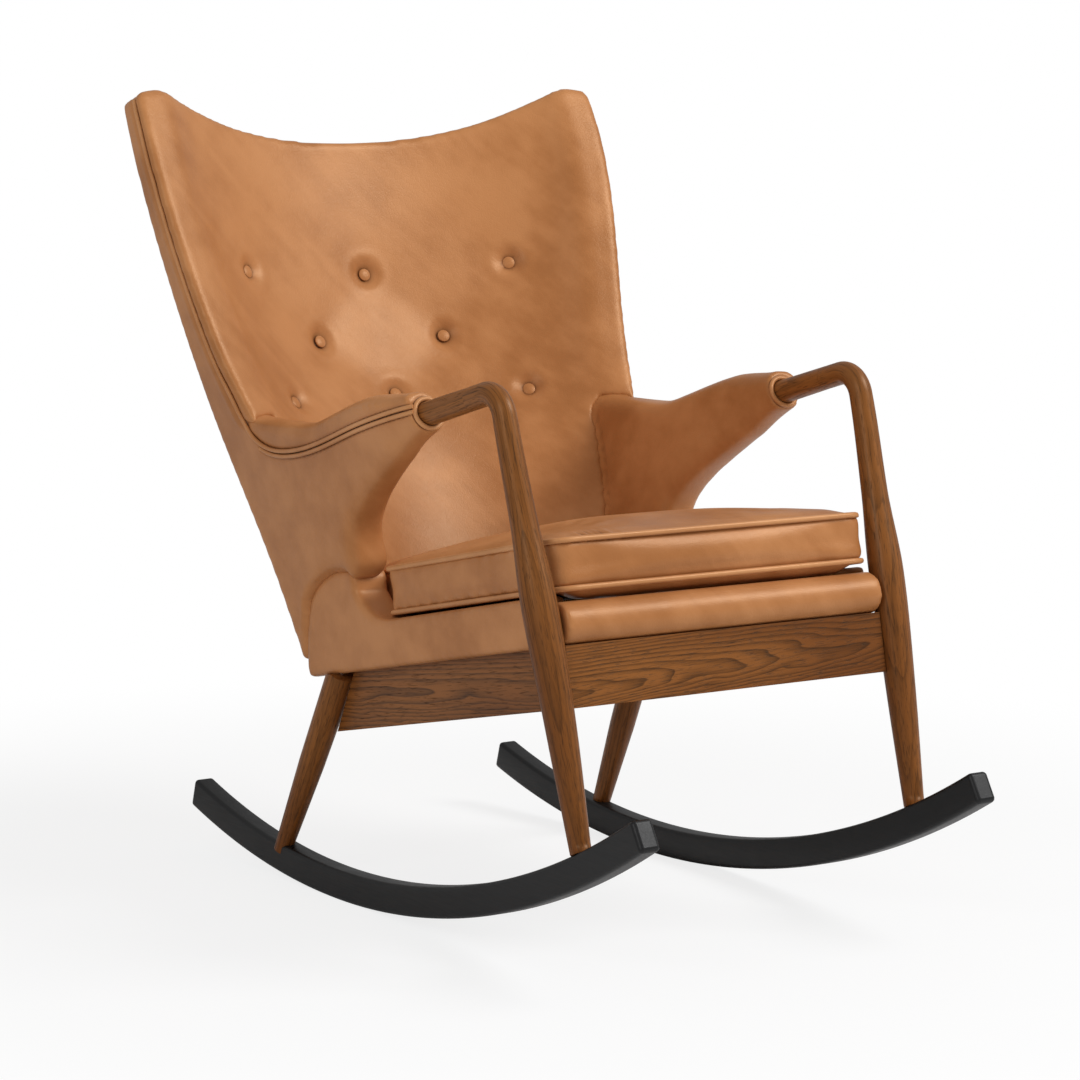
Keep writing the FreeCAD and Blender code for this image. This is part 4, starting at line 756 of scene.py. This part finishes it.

# %% [markdown]
# ## From a plain solid to a padded form
# A imported solid has hard edges and long facets. Cut again into small even squares and relaxed a little,
# its edges round off as leather over foam does. The seams between two pieces stay, because each piece is
# relaxed by itself. An attribute then tells the leather how hollow or how proud each point is; the leather
# paints shade into the hollows and a highlight onto the proud points from it.
# %% Copies of imported pieces


def merged_copy(node, name):
    """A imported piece's mesh as a new object, its loose triangles joined."""
    work = bmesh.new()
    work.from_mesh(nodes[node].data)
    bmesh.ops.remove_doubles(work, verts=work.verts, dist=0.02 * MILLIMETRE)
    mesh = bpy.data.meshes.new(name)
    work.to_mesh(mesh)
    work.free()
    return link_new(bpy.data.objects.new(name, mesh))


# %% [markdown]
# Smoothing a mesh point by point needs each point's neighbours. A plain relaxing step draws a point to
# their mean and shrinks the form; one step back for each step forward smooths it and keeps its size.
# %% Smoothing


def ring_of(piece):
    """Each point's neighbours in one row; short rows are filled with the point itself."""
    flat = np.empty(len(piece.data.edges) * 2, dtype=int)
    piece.data.edges.foreach_get("vertices", flat)
    edges = flat.reshape(-1, 2)
    both = np.concatenate([edges, edges[:, ::-1]])
    both = both[np.argsort(both[:, 0], kind="stable")]
    count = np.bincount(both[:, 0], minlength=len(piece.data.vertices))
    first = np.cumsum(count) - count
    slot = np.arange(len(both)) - first[both[:, 0]]
    rows = np.tile(np.arange(len(count))[:, None], (1, count.max()))
    rows[both[:, 0], slot] = both[:, 1]
    return rows, count


def relaxed(values, ring, steps, pull=0.5):
    """Each value drawn towards the mean of its neighbours."""
    rows, count = ring
    shape = [-1] + [1] * (values.ndim - 1)
    spare = (rows.shape[1] - count).reshape(shape)
    known = np.maximum(count, 1).reshape(shape)
    for _ in range(steps):
        mean = (values[rows].sum(axis=1) - spare * values) / known
        values = values + pull * (mean - values)
    return values


def faired(values, ring, rounds):
    """Smooths without shrinking."""
    for _ in range(rounds):
        values = relaxed(values, ring, 1, 0.5)
        values = relaxed(values, ring, 1, -0.53)
    return values


# %% Padded forms
CREASE_DEPTH = 0.8 * MILLIMETRE


def mark_hollow_shade(piece, reach=6):
    """Writes how far each point lies below, or above, the form round it; the leather paints shade into hollows
    and a highlight onto proud points from it.
    """
    points = points_of(piece)
    ring = ring_of(piece)
    mean = relaxed(points, ring, reach)
    hollow = np.einsum("ij,ij->i", mean - points, normals_of(piece)) / CREASE_DEPTH
    hollow = relaxed(np.clip(hollow, -1.5, 1.5), ring, 1)
    layer = piece.data.attributes.get("hollow_shade") or piece.data.attributes.new("hollow_shade", "FLOAT", "POINT")
    layer.data.foreach_set("value", hollow.astype(np.float32))


def padded_form(nodes_in, name, voxel, steps, rounds=24):
    """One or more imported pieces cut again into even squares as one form, and smoothed."""
    copies = [merged_copy(node, name) for node in nodes_in]
    piece = copies[0]
    if len(copies) > 1:
        work = bmesh.new()
        for copy in copies:
            work.from_mesh(copy.data)
        work.to_mesh(piece.data)
        work.free()
        for copy in copies[1:]:
            bpy.data.objects.remove(copy)
    piece.name = name
    add(piece, "REMESH", mode="VOXEL", voxel_size=voxel, use_smooth_shade=True)
    applied(piece)
    ring = ring_of(piece)
    points = relaxed(points_of(piece), ring, steps)
    set_points(piece, faired(points, ring, rounds))
    return piece


def dress(piece, nodes_in, body, finish):
    """Gives a finished soft piece its finish, its body and the solids that it stands for."""
    wear(piece, finish)
    for face in piece.data.polygons:
        face.use_smooth = True
    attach(piece, body)
    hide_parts(*nodes_in)
    return piece


# %% [markdown]
# ## Buttons
# Eight covered buttons are sewn through the back. Their places and the way they face are read from the
# packed buttons, because the padding has to be drawn in exactly under them.
# %% Button places


def islands(piece):
    """The separate shells of a mesh, as lists of point numbers."""
    rows, count = ring_of(piece)
    label = np.arange(len(count))
    while True:
        lower = label[rows].min(axis=1)
        lower = lower[lower]
        if np.array_equal(lower, label):
            return [np.flatnonzero(label == n) for n in np.unique(label)]
        label = lower


buttons = merged_copy("back_buttons", "sewn_back_buttons")
button_points = points_of(buttons)
button_shells = islands(buttons)
button_places = []
for shell in button_shells:
    middle = button_points[shell].mean(axis=0)
    spread = np.linalg.svd(button_points[shell] - middle)[2]
    facing = spread[2] * -np.sign(spread[2][1])
    button_places.append((middle, facing))
print("buttons:", len(button_places))

# %% [markdown]
# ## Tufts
# A button pulls the leather down into a wide soft dimple, steep close to the button, and shallow valleys
# run from each button to its neighbours in the next row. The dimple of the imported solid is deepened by
# moving points along the button's own direction. Along the wings' edges the padding is fuller.
# %% Tufts
WING_SEAM = [
    (0.2945, -0.240, 0.664), (0.3000, -0.205, 0.655), (0.3050, -0.117, 0.630),
    (0.3014, -0.019, 0.599), (0.299, 0.070, 0.582),
    (0.2997, 0.115, 0.584), (0.304, 0.150, 0.602), (0.315, 0.175, 0.646), (0.3244, 0.2033, 0.686),
    (0.3328, 0.2206, 0.7261), (0.3406, 0.2367, 0.7662), (0.3475, 0.2521, 0.8064),
    (0.3539, 0.2667, 0.8465), (0.3594, 0.2806, 0.8866), (0.3628, 0.2957, 0.9268),
    (0.3653, 0.3143, 0.9669), (0.3657, 0.3336, 1.0071), (0.3645, 0.347, 1.029),
]
WING_ROLL = 0.0075
ROLL_INSIDE = 0.045
ROLL_WIDTH = 0.028
ROLL_FROM = (0.58, 0.70)
TUFT_FILL = 0.0059
FILL_REACH = (0.010, 0.040)
TUFT_DRAW = 0.0050
TUFT_WIDTH = 0.06
TUFT_REACH = 0.14
VALLEY_DEPTH = 0.0014
VALLEY_WIDTH = 0.026
VALLEY_REACH = 0.19


def fade(value, low, high):
    """1 below low, 0 above high, and a soft step between."""
    t = np.clip((high - value) / (high - low), 0, 1)
    return t * t * (3 - 2 * t)


def wing_roll(points):
    """How much fuller the padding is in a band along each wing's edge."""
    seam = np.array(WING_SEAM[5:])
    edge = np.interp(points[:, 2], seam[:, 2], seam[:, 0])
    inside = edge - np.abs(points[:, 0])
    band = np.exp(-((inside - ROLL_INSIDE) / ROLL_WIDTH) ** 2)
    return WING_ROLL * band * (1 - fade(points[:, 2], *ROLL_FROM))


def tuft_shift(points):
    """How far the padding moves: filled close to a button, drawn in by it further out."""
    shift = np.zeros_like(points)
    for middle, facing in button_places:
        away = points - middle
        aside = np.linalg.norm(away - np.outer(away @ facing, facing), axis=1)
        depth = TUFT_DRAW / (1 + (aside / TUFT_WIDTH) ** 2) * fade(aside, 0.03, TUFT_REACH)
        depth = depth - TUFT_FILL * fade(aside, *FILL_REACH)
        shift -= np.outer(depth, facing)
    for first, (a, facing) in enumerate(button_places):
        for b, _ in button_places[first + 1:]:
            if np.linalg.norm(b - a) > VALLEY_REACH or abs(b[2] - a[2]) < 0.03:
                continue
            along = np.clip((points - a) @ (b - a) / ((b - a) @ (b - a)), 0, 1)
            aside = np.linalg.norm((points - a - np.outer(along, b - a))[:, [0, 2]], axis=1)
            depth = VALLEY_DEPTH * np.exp(-(aside / VALLEY_WIDTH) ** 2)
            shift -= np.outer(depth, facing)
    return shift


# %% [markdown]
# The arm narrows to its mouth, where the leather closes round the rail. Points near the mouth are drawn
# towards the rail's own line, but never closer than the rail needs.
# %% Arm mouths
MOUTH_HIGH = np.array((-0.224, 0.686))
MOUTH_LOW = np.array((-0.253, 0.630))
MOUTH_TAPER = 0.42
MOUTH_RUN = 0.085
MOUTH_FREE = 0.018


def rail_line(y):
    """The middle of the left arm rail at places along the chair."""
    share = (y - rail_joint[1]) / (RAIL_END[1] - rail_joint[1])
    return rail_joint + np.outer(share, RAIL_END - rail_joint)


def mouth_taper(points, side):
    face = unit(MOUTH_HIGH - MOUTH_LOW)
    inward = np.array((face[1], -face[0]))
    depth = (points[:, 1:] - MOUTH_LOW) @ inward
    middle = rail_line(points[:, 1]) * (side, 1, 1)
    aside = points - middle
    aside = aside - np.outer(aside @ rail_back, rail_back)
    far = np.linalg.norm(aside, axis=1)
    free = np.maximum(far - MOUTH_FREE, 0) / np.maximum(far, 1e-6)
    share = MOUTH_TAPER * fade(depth, 0, MOUTH_RUN) * free
    return points - aside * share[:, None]


# %% [markdown]
# ## The upholstery
# Pads and panels are the same leather over foam of different thickness: thin and tight on the panels,
# full on the back. An arm's pad and its outer panel are stretched as one, and the seam between them gets
# its piping later. Each form is swollen a little, so that two pieces press on each other and their seam
# is one clean line. Below the mouth the arm's front edge is rolled over a wider round. Where an arm meets
# the back or the seat side, its edge is tucked a little way into that piece, as the real seam is.
# %% Leather pieces
UPHOLSTERY = {
    "leather_inside_back": (("inside_back",), 0.004, 8, 0.8),
    "leather_outside_back": (("outside_back",), 0.0045, 5, 0.9),
    "leather_seat_side_left": (("seat_side_cover_left",), 0.0035, 5, 0.8),
    "leather_seat_side_right": (("seat_side_cover_right",), 0.0035, 5, 0.8),
    "leather_arm_left": (("arm_pad_left", "side_panel_left"), 0.0032, 7, 0.8),
    "leather_arm_right": (("arm_pad_right", "side_panel_right"), 0.0032, 7, 0.8),
    "leather_front_roll": (("front_roll",), 0.003, 5, 0.8),
}
PRESS = 0.0009


def rolled_front(piece):
    """Rounds off the arm below its mouth much more than the rest."""
    points = points_of(piece)
    wide = relaxed(points, ring_of(piece), 60)
    share = fade(points[:, 2], 0.60, 0.67) * fade(points[:, 1], -0.02, 0.05)
    set_points(piece, points + (wide - points) * share[:, None])


TUCK_REACH = 0.009
TUCK_DEPTH = 0.003


def tucked(piece, other):
    """Draws the points that lie close to another piece a little way into it."""
    tree = BVHTree.FromObject(other, bpy.context.evaluated_depsgraph_get())
    points = points_of(piece)
    low = points_of(other).min(axis=0) - TUCK_REACH
    high = points_of(other).max(axis=0) + TUCK_REACH
    for n in np.flatnonzero(((points > low) & (points < high)).all(axis=1)):
        place, normal, _, far = tree.find_nearest(Vector(points[n]), TUCK_REACH)
        if place is None or (Vector(points[n]) - place).dot(normal) < 0:
            continue
        share = float(fade(far, TUCK_REACH * 0.35, TUCK_REACH))
        points[n] += share * (np.array(place - normal * TUCK_DEPTH) - points[n])
    set_points(piece, faired(points, ring_of(piece), 6))


soft_pieces = {}
for name, (nodes_in, voxel, steps, fill) in UPHOLSTERY.items():
    piece = padded_form(nodes_in, name, voxel, steps, 36)
    if name == "leather_inside_back":
        points = points_of(piece)
        front = np.clip(-normals_of(piece)[:, 1] * 3 - 0.3, 0, 1)
        ring = ring_of(piece)
        points = points + normals_of(piece) * (wing_roll(points) * front)[:, None]
        points = points + tuft_shift(points) * front[:, None]
        set_points(piece, faired(relaxed(points, ring, 4), ring, 10))
    if name.startswith("leather_arm"):
        rolled_front(piece)
        set_points(piece, mouth_taper(points_of(piece), 1 if name.endswith("left") else -1))
    set_points(piece, points_of(piece) + normals_of(piece) * PRESS)
    if name == "leather_outside_back":
        tucked(piece, soft_pieces["leather_inside_back"])
    if name.startswith("leather_arm"):
        tucked(piece, soft_pieces["leather_inside_back"])
        tucked(piece, soft_pieces[name.replace("arm", "seat_side")])
    mark_hollow_shade(piece)
    soft_pieces[name] = dress(piece, nodes_in, "chair", leather)
    print(name, len(piece.data.polygons), "faces")

# %% [markdown]
# A covered button is nearly flat: its dome is pressed, and its rim is tucked into the leather, with a thin
# ring of painted shade round it.
# %% Covered buttons
BUTTON_PRESS = 0.5
BUTTON_RISE = TUFT_FILL - TUFT_DRAW + 0.0008
BUTTON_RADIUS = 0.0085


def paint_shade(piece, share):
    """Adds painted shade where share says so."""
    layer = piece.data.attributes["hollow_shade"]
    values = np.empty(len(piece.data.vertices), dtype=np.float32)
    layer.data.foreach_get("value", values)
    layer.data.foreach_set("value", np.maximum(values, share.astype(np.float32)))


back_points = points_of(soft_pieces["leather_inside_back"])
rim_shade = np.zeros(len(back_points))
for shell, (middle, facing) in zip(button_shells, button_places):
    height = (button_points[shell] - middle) @ facing
    press = (height - height.min()) * (1 - BUTTON_PRESS)
    button_points[shell] += np.outer(BUTTON_RISE - press, facing)
    away = back_points - middle
    aside = np.linalg.norm(away - np.outer(away @ facing, facing), axis=1)
    # A thin ring of painted shade round each button's rim.
    rim_shade = np.maximum(rim_shade, fade(aside, BUTTON_RADIUS, BUTTON_RADIUS + 0.004))
paint_shade(soft_pieces["leather_inside_back"], rim_shade)
set_points(buttons, button_points)
add(buttons, "BEVEL", width=0.0012, segments=3, angle_limit=math.radians(35))
applied(buttons)
mark_hollow_shade(buttons, 2)
dress(buttons, ("back_buttons",), "chair", leather)
print("buttons", len(buttons.data.polygons), "faces")

# %% [markdown]
# ## Seat cushion
# The cushion is a bag of leather round a foam core. Its seams are held where the imported solid has them,
# and a cloth simulation blows the panels out between the seams: the top crowns and the border bellies.
# Small pleats are then added along the upper piping at one front corner, as a sewn cushion has.
# %% Cushion
SEAT_PLACE = np.array((0, -0.486, 0.3965))
SEAT_TURN = math.radians(-11.5)
SEAT_UP = (0, math.sin(-SEAT_TURN), math.cos(SEAT_TURN))
CUSHION_CAP = 0.011
CUSHION_SIDE = 0.2384
CUSHION_FRONT = 0.004
BELLY_DROP = 0.010
BELLY_HEIGHT = (0.0655, 0.070)
BELLY_PLACE = 0.024
BELLY_REACH = (0.010, 0.024)
BELLY_WIDTH = (0.19, 0.236)
REST_HEIGHT = (0.062, 0.068)
REST_FROM = (-0.075, -0.045)
LEAN_FROM = (0.38, 0.46)
CORNER_PUSH = 0.006
WELT_SPAN = (0.068, 0.124)
CORD_PROUD = 0.0022
CORD_SWELL = 0.0006
PLEAT = 0.0026
PLEAT_PLACE = -0.172
PLEAT_SPAN = 0.05


def in_seat(points):
    """Places in the seat's own frame: across, back along the seat, and up from it."""
    away = points - SEAT_PLACE
    c, s = math.cos(SEAT_TURN), math.sin(SEAT_TURN)
    return np.stack([away[:, 0], away[:, 1] * c + away[:, 2] * s, away[:, 2] * c - away[:, 1] * s], axis=1)


def squared(points):
    """Fills out the two front corners, where cover and cords are stuffed tight."""
    seat = in_seat(points)
    span = (seat[:, 2] - WELT_SPAN[0]) / (WELT_SPAN[1] - WELT_SPAN[0])
    border = 0.2 + 0.8 * np.clip(4 * span * (1 - span), 0, 1)
    for side in (1, -1):
        away = seat[:, :2] - (side * CUSHION_SIDE, CUSHION_FRONT)
        push = border * CORNER_PUSH * fade(np.linalg.norm(away, axis=1), 0.008, 0.06)
        points = points + np.outer(push, (side * 0.7, -0.7, 0))
    points[:, 0] = np.clip(points[:, 0], -CUSHION_SIDE, CUSHION_SIDE)
    return points


def pleated(points):
    """Small pleats by the upper cord at the right front corner, where the cover is eased in."""
    seat = in_seat(points)
    across = (seat[:, 0] - PLEAT_PLACE) / PLEAT_SPAN
    share = fade(np.abs(across), 0.4, 1) * fade(seat[:, 1] - CUSHION_FRONT, 0.004, 0.034)
    share = share * fade(-seat[:, 2], -WELT_SPAN[1], -WELT_SPAN[1] + 0.006)
    wave = np.sin(across * 24 + 2.5 * np.sin(across * 5) + seat[:, 1] * 60)
    return points + np.outer(PLEAT * share * wave, SEAT_UP)


def stood_proud(piece):
    """The piping swells, and at the front it moves a little out of its seam."""
    points = points_of(piece)
    seat = in_seat(points)
    front = fade(seat[:, 1], 0.03, 0.07)
    up = np.where(seat[:, 2] > sum(WELT_SPAN) / 2, 0.4, -0.4)
    step = np.stack([0 * up, -front * math.cos(SEAT_TURN), front * up], axis=1)
    return points + normals_of(piece) * CORD_SWELL + step * CORD_PROUD


def tree_of(points):
    """A tree that finds the nearest of many points."""
    tree = KDTree(len(points))
    for n, point in enumerate(points):
        tree.insert(point, n)
    tree.balance()
    return tree


def seam_share(piece, welts):
    """1 on the seams, falling to 0 a finger's width away."""
    tree = tree_of(welts)
    near = np.array([tree.find(point)[2] for point in points_of(piece)])
    return fade(near, 0.004, 0.017)


def outer_shell(piece):
    """Keeps only the largest shell of a hollow piece."""
    points = points_of(piece)
    shells = islands(piece)
    keep = max(shells, key=lambda shell: np.ptp(points[shell], axis=0).sum())
    work = bmesh.new()
    work.from_mesh(piece.data)
    work.verts.ensure_lookup_table()
    lost = np.ones(len(points), dtype=bool)
    lost[keep] = False
    bmesh.ops.delete(work, geom=[work.verts[int(n)] for n in np.flatnonzero(lost)], context="VERTS")
    work.to_mesh(piece.data)
    work.free()


def blown(piece, pinned, cap, sink):
    """Swells a closed form by pressure while its seams stay; a point moves out by cap at most."""
    group = piece.vertex_groups.new(name="seam")
    for n in np.flatnonzero(pinned > 0.01):
        group.add([int(n)], float(pinned[n]), "REPLACE")
    start, facing = points_of(piece), normals_of(piece)
    cloth = piece.modifiers.new("Cloth", "CLOTH")
    cloth.settings.quality = 5
    cloth.settings.mass = 0.3
    cloth.settings.vertex_group_mass = "seam"
    cloth.settings.use_pressure = True
    cloth.settings.uniform_pressure_force = 2.5
    cloth.settings.effector_weights.gravity = 0
    cloth.settings.bending_stiffness = 0.6
    cloth.collision_settings.use_collision = False
    scene = bpy.context.scene
    for moment in range(1, 21):
        scene.frame_set(moment)
    applied(piece)
    scene.frame_set(1)
    moved = points_of(piece) - start
    far = np.maximum(np.linalg.norm(moved, axis=1), 1e-9)
    moved = moved * (np.minimum(far, cap) / far)[:, None]
    inward = np.minimum(np.einsum("ij,ij->i", moved, facing) + sink, 0)
    set_points(piece, start + moved - facing * inward[:, None])
    return far


# %% Cushion made
cushion = merged_copy("cushion_cover", "leather_cushion_cover")
outer_shell(cushion)
add(cushion, "REMESH", mode="VOXEL", voxel_size=0.0055, use_smooth_shade=True)
applied(cushion)
outer_shell(cushion)
cushion_ring = ring_of(cushion)
set_points(cushion, faired(relaxed(points_of(cushion), cushion_ring, 3), cushion_ring, 16))
WELTS = ("cushion_top_welt", "cushion_bottom_welt")
welt_points = [vertex.co for welt in WELTS for vertex in nodes[welt].data.vertices]
before = points_of(cushion).copy()
far = blown(cushion, seam_share(cushion, welt_points), CUSHION_CAP, 0.0005)
print("cushion swells by up to", round(float(far.max()) * 1000, 1), "mm before the cap")
points = points_of(cushion)
seat = in_seat(before)
rests = fade(seat[:, 2], *REST_HEIGHT) * fade(-seat[:, 1], *REST_FROM)
leans = 1 - fade(seat[:, 1], *LEAN_FROM)
points = before + (points - before) * (1 - np.maximum(rests, leans))[:, None]
belly = fade(seat[:, 2], *BELLY_HEIGHT) * fade(np.abs(seat[:, 1] - BELLY_PLACE), *BELLY_REACH)
belly = belly * fade(np.abs(seat[:, 0]), *BELLY_WIDTH)
points = points - np.outer(BELLY_DROP * belly, SEAT_UP)
set_points(cushion, squared(points))
add(cushion, "SUBSURF", levels=1, render_levels=1)
applied(cushion)
set_points(cushion, pleated(points_of(cushion)))
mark_hollow_shade(cushion)
dress(cushion, ("cushion_cover",), "cushion", leather)
soft_pieces["leather_cushion_cover"] = cushion
print("cushion", len(cushion.data.polygons), "faces")

# %% [markdown]
# ## Piping
# Piping is a cord in a bias strip of the same hide. The cushion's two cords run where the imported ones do,
# and stand a little proud of the seam at the front and the sides.
# %% Cushion piping
for node in WELTS:
    piece = merged_copy(node, "sewn_" + node)
    set_points(piece, squared(stood_proud(piece)))
    mark_hollow_shade(piece)
    dress(piece, (node,), "cushion", piping_leather)
    print("trim", node, len(piece.data.polygons), "faces")

# %% [markdown]
# The wing's piping starts at the mouth of the arm, runs back along the arm and climbs the wing to its ear.
# Each point of its line is laid on the nearest leather, so the cord follows the stuffed form.
# %% Wing piping
PIPING_GIRTH = 0.0028
WELT_APART = 0.0074
GROOVE = 0.0014
DOUBLE_UNTIL = 0.13
LAID_PROUD = 0.0012
SEWN_REACH = 0.012


def laid_on(points, trees):
    """Moves each point to the nearest leather and lifts it a little off."""
    laid = []
    for point in points:
        hits = [tree.find_nearest(Vector(point)) for tree in trees]
        place, normal, _, _ = min(hits, key=lambda hit: hit[3])
        laid.append(place + normal * LAID_PROUD)
    return np.array(laid)


def even_line(points, first, last, step):
    """A smooth line through stations, cut again into even steps."""
    dense = smooth_line(points, first, last, 12)[0]
    runs = np.concatenate([[0], np.cumsum(np.linalg.norm(np.diff(dense, axis=0), axis=1))])
    marks = np.linspace(0, runs[-1], max(2, int(runs[-1] / step)))
    return np.stack([np.interp(marks, runs, dense[:, n]) for n in range(3)], axis=1)


def softened(line, steps):
    """Evens out a line but keeps its two ends."""
    for _ in range(steps):
        line[1:-1] = 0.5 * line[1:-1] + 0.25 * (line[:-2] + line[2:])
    return line


def distance_to(points, line, reach):
    """How far each point lies from a line of points; far ones are left at reach."""
    away = np.full(len(points), reach)
    low, high = line.min(axis=0) - reach, line.max(axis=0) + reach
    tree = tree_of(line)
    for n in np.flatnonzero(((points > low) & (points < high)).all(axis=1)):
        away[n] = min(reach, tree.find(points[n])[2])
    return away


def sew(name, line, girth, closed=False):
    """A cord along a line, the groove that it leaves in the leather, and painted shade along that groove."""
    girths = [girth] * len(line)
    sockets = {"Sides": 12, "Material": piping_leather}
    piece = baked(name, line, girths, ROUND_STICK, closed, **sockets)
    mark_hollow_shade(piece, 3)
    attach(piece, "chair")
    for soft in soft_pieces.values():
        points = points_of(soft)
        away = distance_to(points, line, SEWN_REACH)
        # Painted shade in the leather along the cord's seam.
        paint_shade(soft, fade(away, girth, girth + 0.003) * 1.1)
        set_points(soft, points - normals_of(soft) * (GROOVE * fade(away, girth, girth + 0.005))[:, None])
    return piece


# %% Wing piping sewn
for side, label in SIDES:
    leathers = ("leather_arm_" + label, "leather_inside_back")
    graph = bpy.context.evaluated_depsgraph_get()
    trees = [BVHTree.FromObject(soft_pieces[name], graph) for name in leathers]
    first = unit(np.subtract(WING_SEAM[1], WING_SEAM[0]))
    last = unit(np.subtract(WING_SEAM[-1], WING_SEAM[-2]))
    line = even_line(WING_SEAM, first, last, 0.005) * (side, 1, 1)
    upper = softened(laid_on(line, trees), 8)
    sew("piping_wing_" + label, upper, PIPING_GIRTH)
    low = upper[upper[:, 1] < DOUBLE_UNTIL] - (0, 0, WELT_APART)
    low = softened(laid_on(low, trees), 8)
    sew("piping_arm_" + label, low, PIPING_GIRTH)
    print("wing piping", label, len(line), "points")

# %% [markdown]
# A leather rim closes each arm's mouth round the rail.
# %% Mouth rims
RIM_GIRTH = 0.0030
RIM_CLEAR = 0.0004


def mouth_ring(side):
    """A ring in the plane of the mouth, round the rail."""
    face = unit(MOUTH_HIGH - MOUTH_LOW)
    up = np.array((0, *face))
    out = np.array((0, -face[1], face[0]))
    y = MOUTH_LOW[0]
    for _ in range(8):
        middle = rail_line(np.array([y]))[0]
        y = MOUTH_LOW[0] + (middle[2] - MOUTH_LOW[1]) * face[0] / face[1]
    share = (y - rail_joint[1]) / (RAIL_END[1] - rail_joint[1])
    girth = POST_GIRTHS[-1] + (RAIL_END_GIRTH - POST_GIRTHS[-1]) * share
    radius = girth + RIM_CLEAR + RIM_GIRTH
    turns = np.linspace(0, 2 * math.pi, 48, endpoint=False)
    ring = middle + out * 0.0006 + radius * np.outer(np.cos(turns), (1, 0, 0))
    ring = ring + radius / (up @ leaning(RAIL_FALL)) * np.outer(np.sin(turns), up)
    return ring * (side, 1, 1)


for side, label in SIDES:
    piece = sew("rim_arm_mouth_" + label, mouth_ring(side), RIM_GIRTH, closed=True)
    print(piece.name, len(piece.data.polygons), "faces")

# %% [markdown]
# ## Floor and light
# The chair stands on a white floor that runs into a white background. The floor keeps the chair's shadow
# near it and turns into plain white further out. One broad lamp from the upper left models the form, a
# weaker one opens the right side, and the sky fills the rest.
# %% Floor
FLOOR_REACH = 7.0
SHADOW_REACH = (0.7, 1.7)
SHADOW_SHARE = 0.2


def make_floor():
    white = Finish("white_floor")
    place = white.place()
    flat = white.node("ShaderNodeVectorMath", {"operation": "LENGTH"}, {0: place}, out="Value")
    paint = white.node("ShaderNodeBsdfDiffuse", {}, {"Color": (0.9, 0.9, 0.9, 1)})
    glow = white.node("ShaderNodeEmission", {}, {"Color": (1, 1, 1, 1), "Strength": 1.0})
    path = white.node("ShaderNodeLightPath", {}, {}, out="Is Camera Ray")
    share = (1 - SHADOW_SHARE + SHADOW_SHARE * white.rise(flat, *SHADOW_REACH)) * path
    floor = white.node("ShaderNodeMixShader", {}, {0: share, 1: paint, 2: glow})
    white.node("ShaderNodeOutputMaterial", {}, {"Surface": floor})
    mesh = bpy.data.meshes.new("studio_floor")
    turns = ((-1, -1), (1, -1), (1, 1), (-1, 1))
    corners = [(x * FLOOR_REACH, y * FLOOR_REACH, 0) for x, y in turns]
    mesh.from_pydata(corners, [], [(0, 1, 2, 3)])
    mesh.materials.append(white.material)
    studio_floor = bpy.data.objects.new("studio_floor", mesh)
    bpy.context.scene.collection.objects.link(studio_floor)


make_floor()
print("floor reaches", FLOOR_REACH, "m")

# %% World and lamps
SKY_ON_OBJECT = 0.42
CHAIR_HEART = (0, 0, 0.55)
LAMP_SIZE = 2.0
LAMPS = {"key_lamp": ((2.2, -2.4, 3.3), 115), "side_lamp": ((-3.4, -1.8, 2.4), 34)}


def make_world():
    """A white sky, weaker on the chair than to the eye."""
    sky = Finish("white_studio", "worlds")
    bpy.context.scene.world = sky.material
    eye = sky.node("ShaderNodeLightPath", {}, {}, out="Is Camera Ray")
    glass = sky.node("ShaderNodeLightPath", {}, {}, out="Is Transmission Ray")
    seen = sky.maths("MAXIMUM", eye, glass)
    level = sky.node("ShaderNodeMapRange", {}, {"Value": seen, "To Min": SKY_ON_OBJECT, "To Max": 1.0})
    light = sky.node("ShaderNodeBackground", {}, {"Color": (1, 1, 1, 1), "Strength": level})
    sky.node("ShaderNodeOutputWorld", {}, {"Surface": light})


def make_lamp(name, place, power):
    light = bpy.data.lights.new(name, "AREA")
    light.shape = "DISK"
    light.size = LAMP_SIZE
    light.energy = power
    lamp = bpy.data.objects.new(name, light)
    lamp.location = place
    lamp.rotation_mode = "QUATERNION"
    lamp.rotation_quaternion = (Vector(CHAIR_HEART) - Vector(place)).to_track_quat("-Z", "Y")
    bpy.context.scene.collection.objects.link(lamp)


make_world()
for name, (place, power) in LAMPS.items():
    make_lamp(name, place, power)
bpy.context.scene.view_settings.view_transform = "Standard"
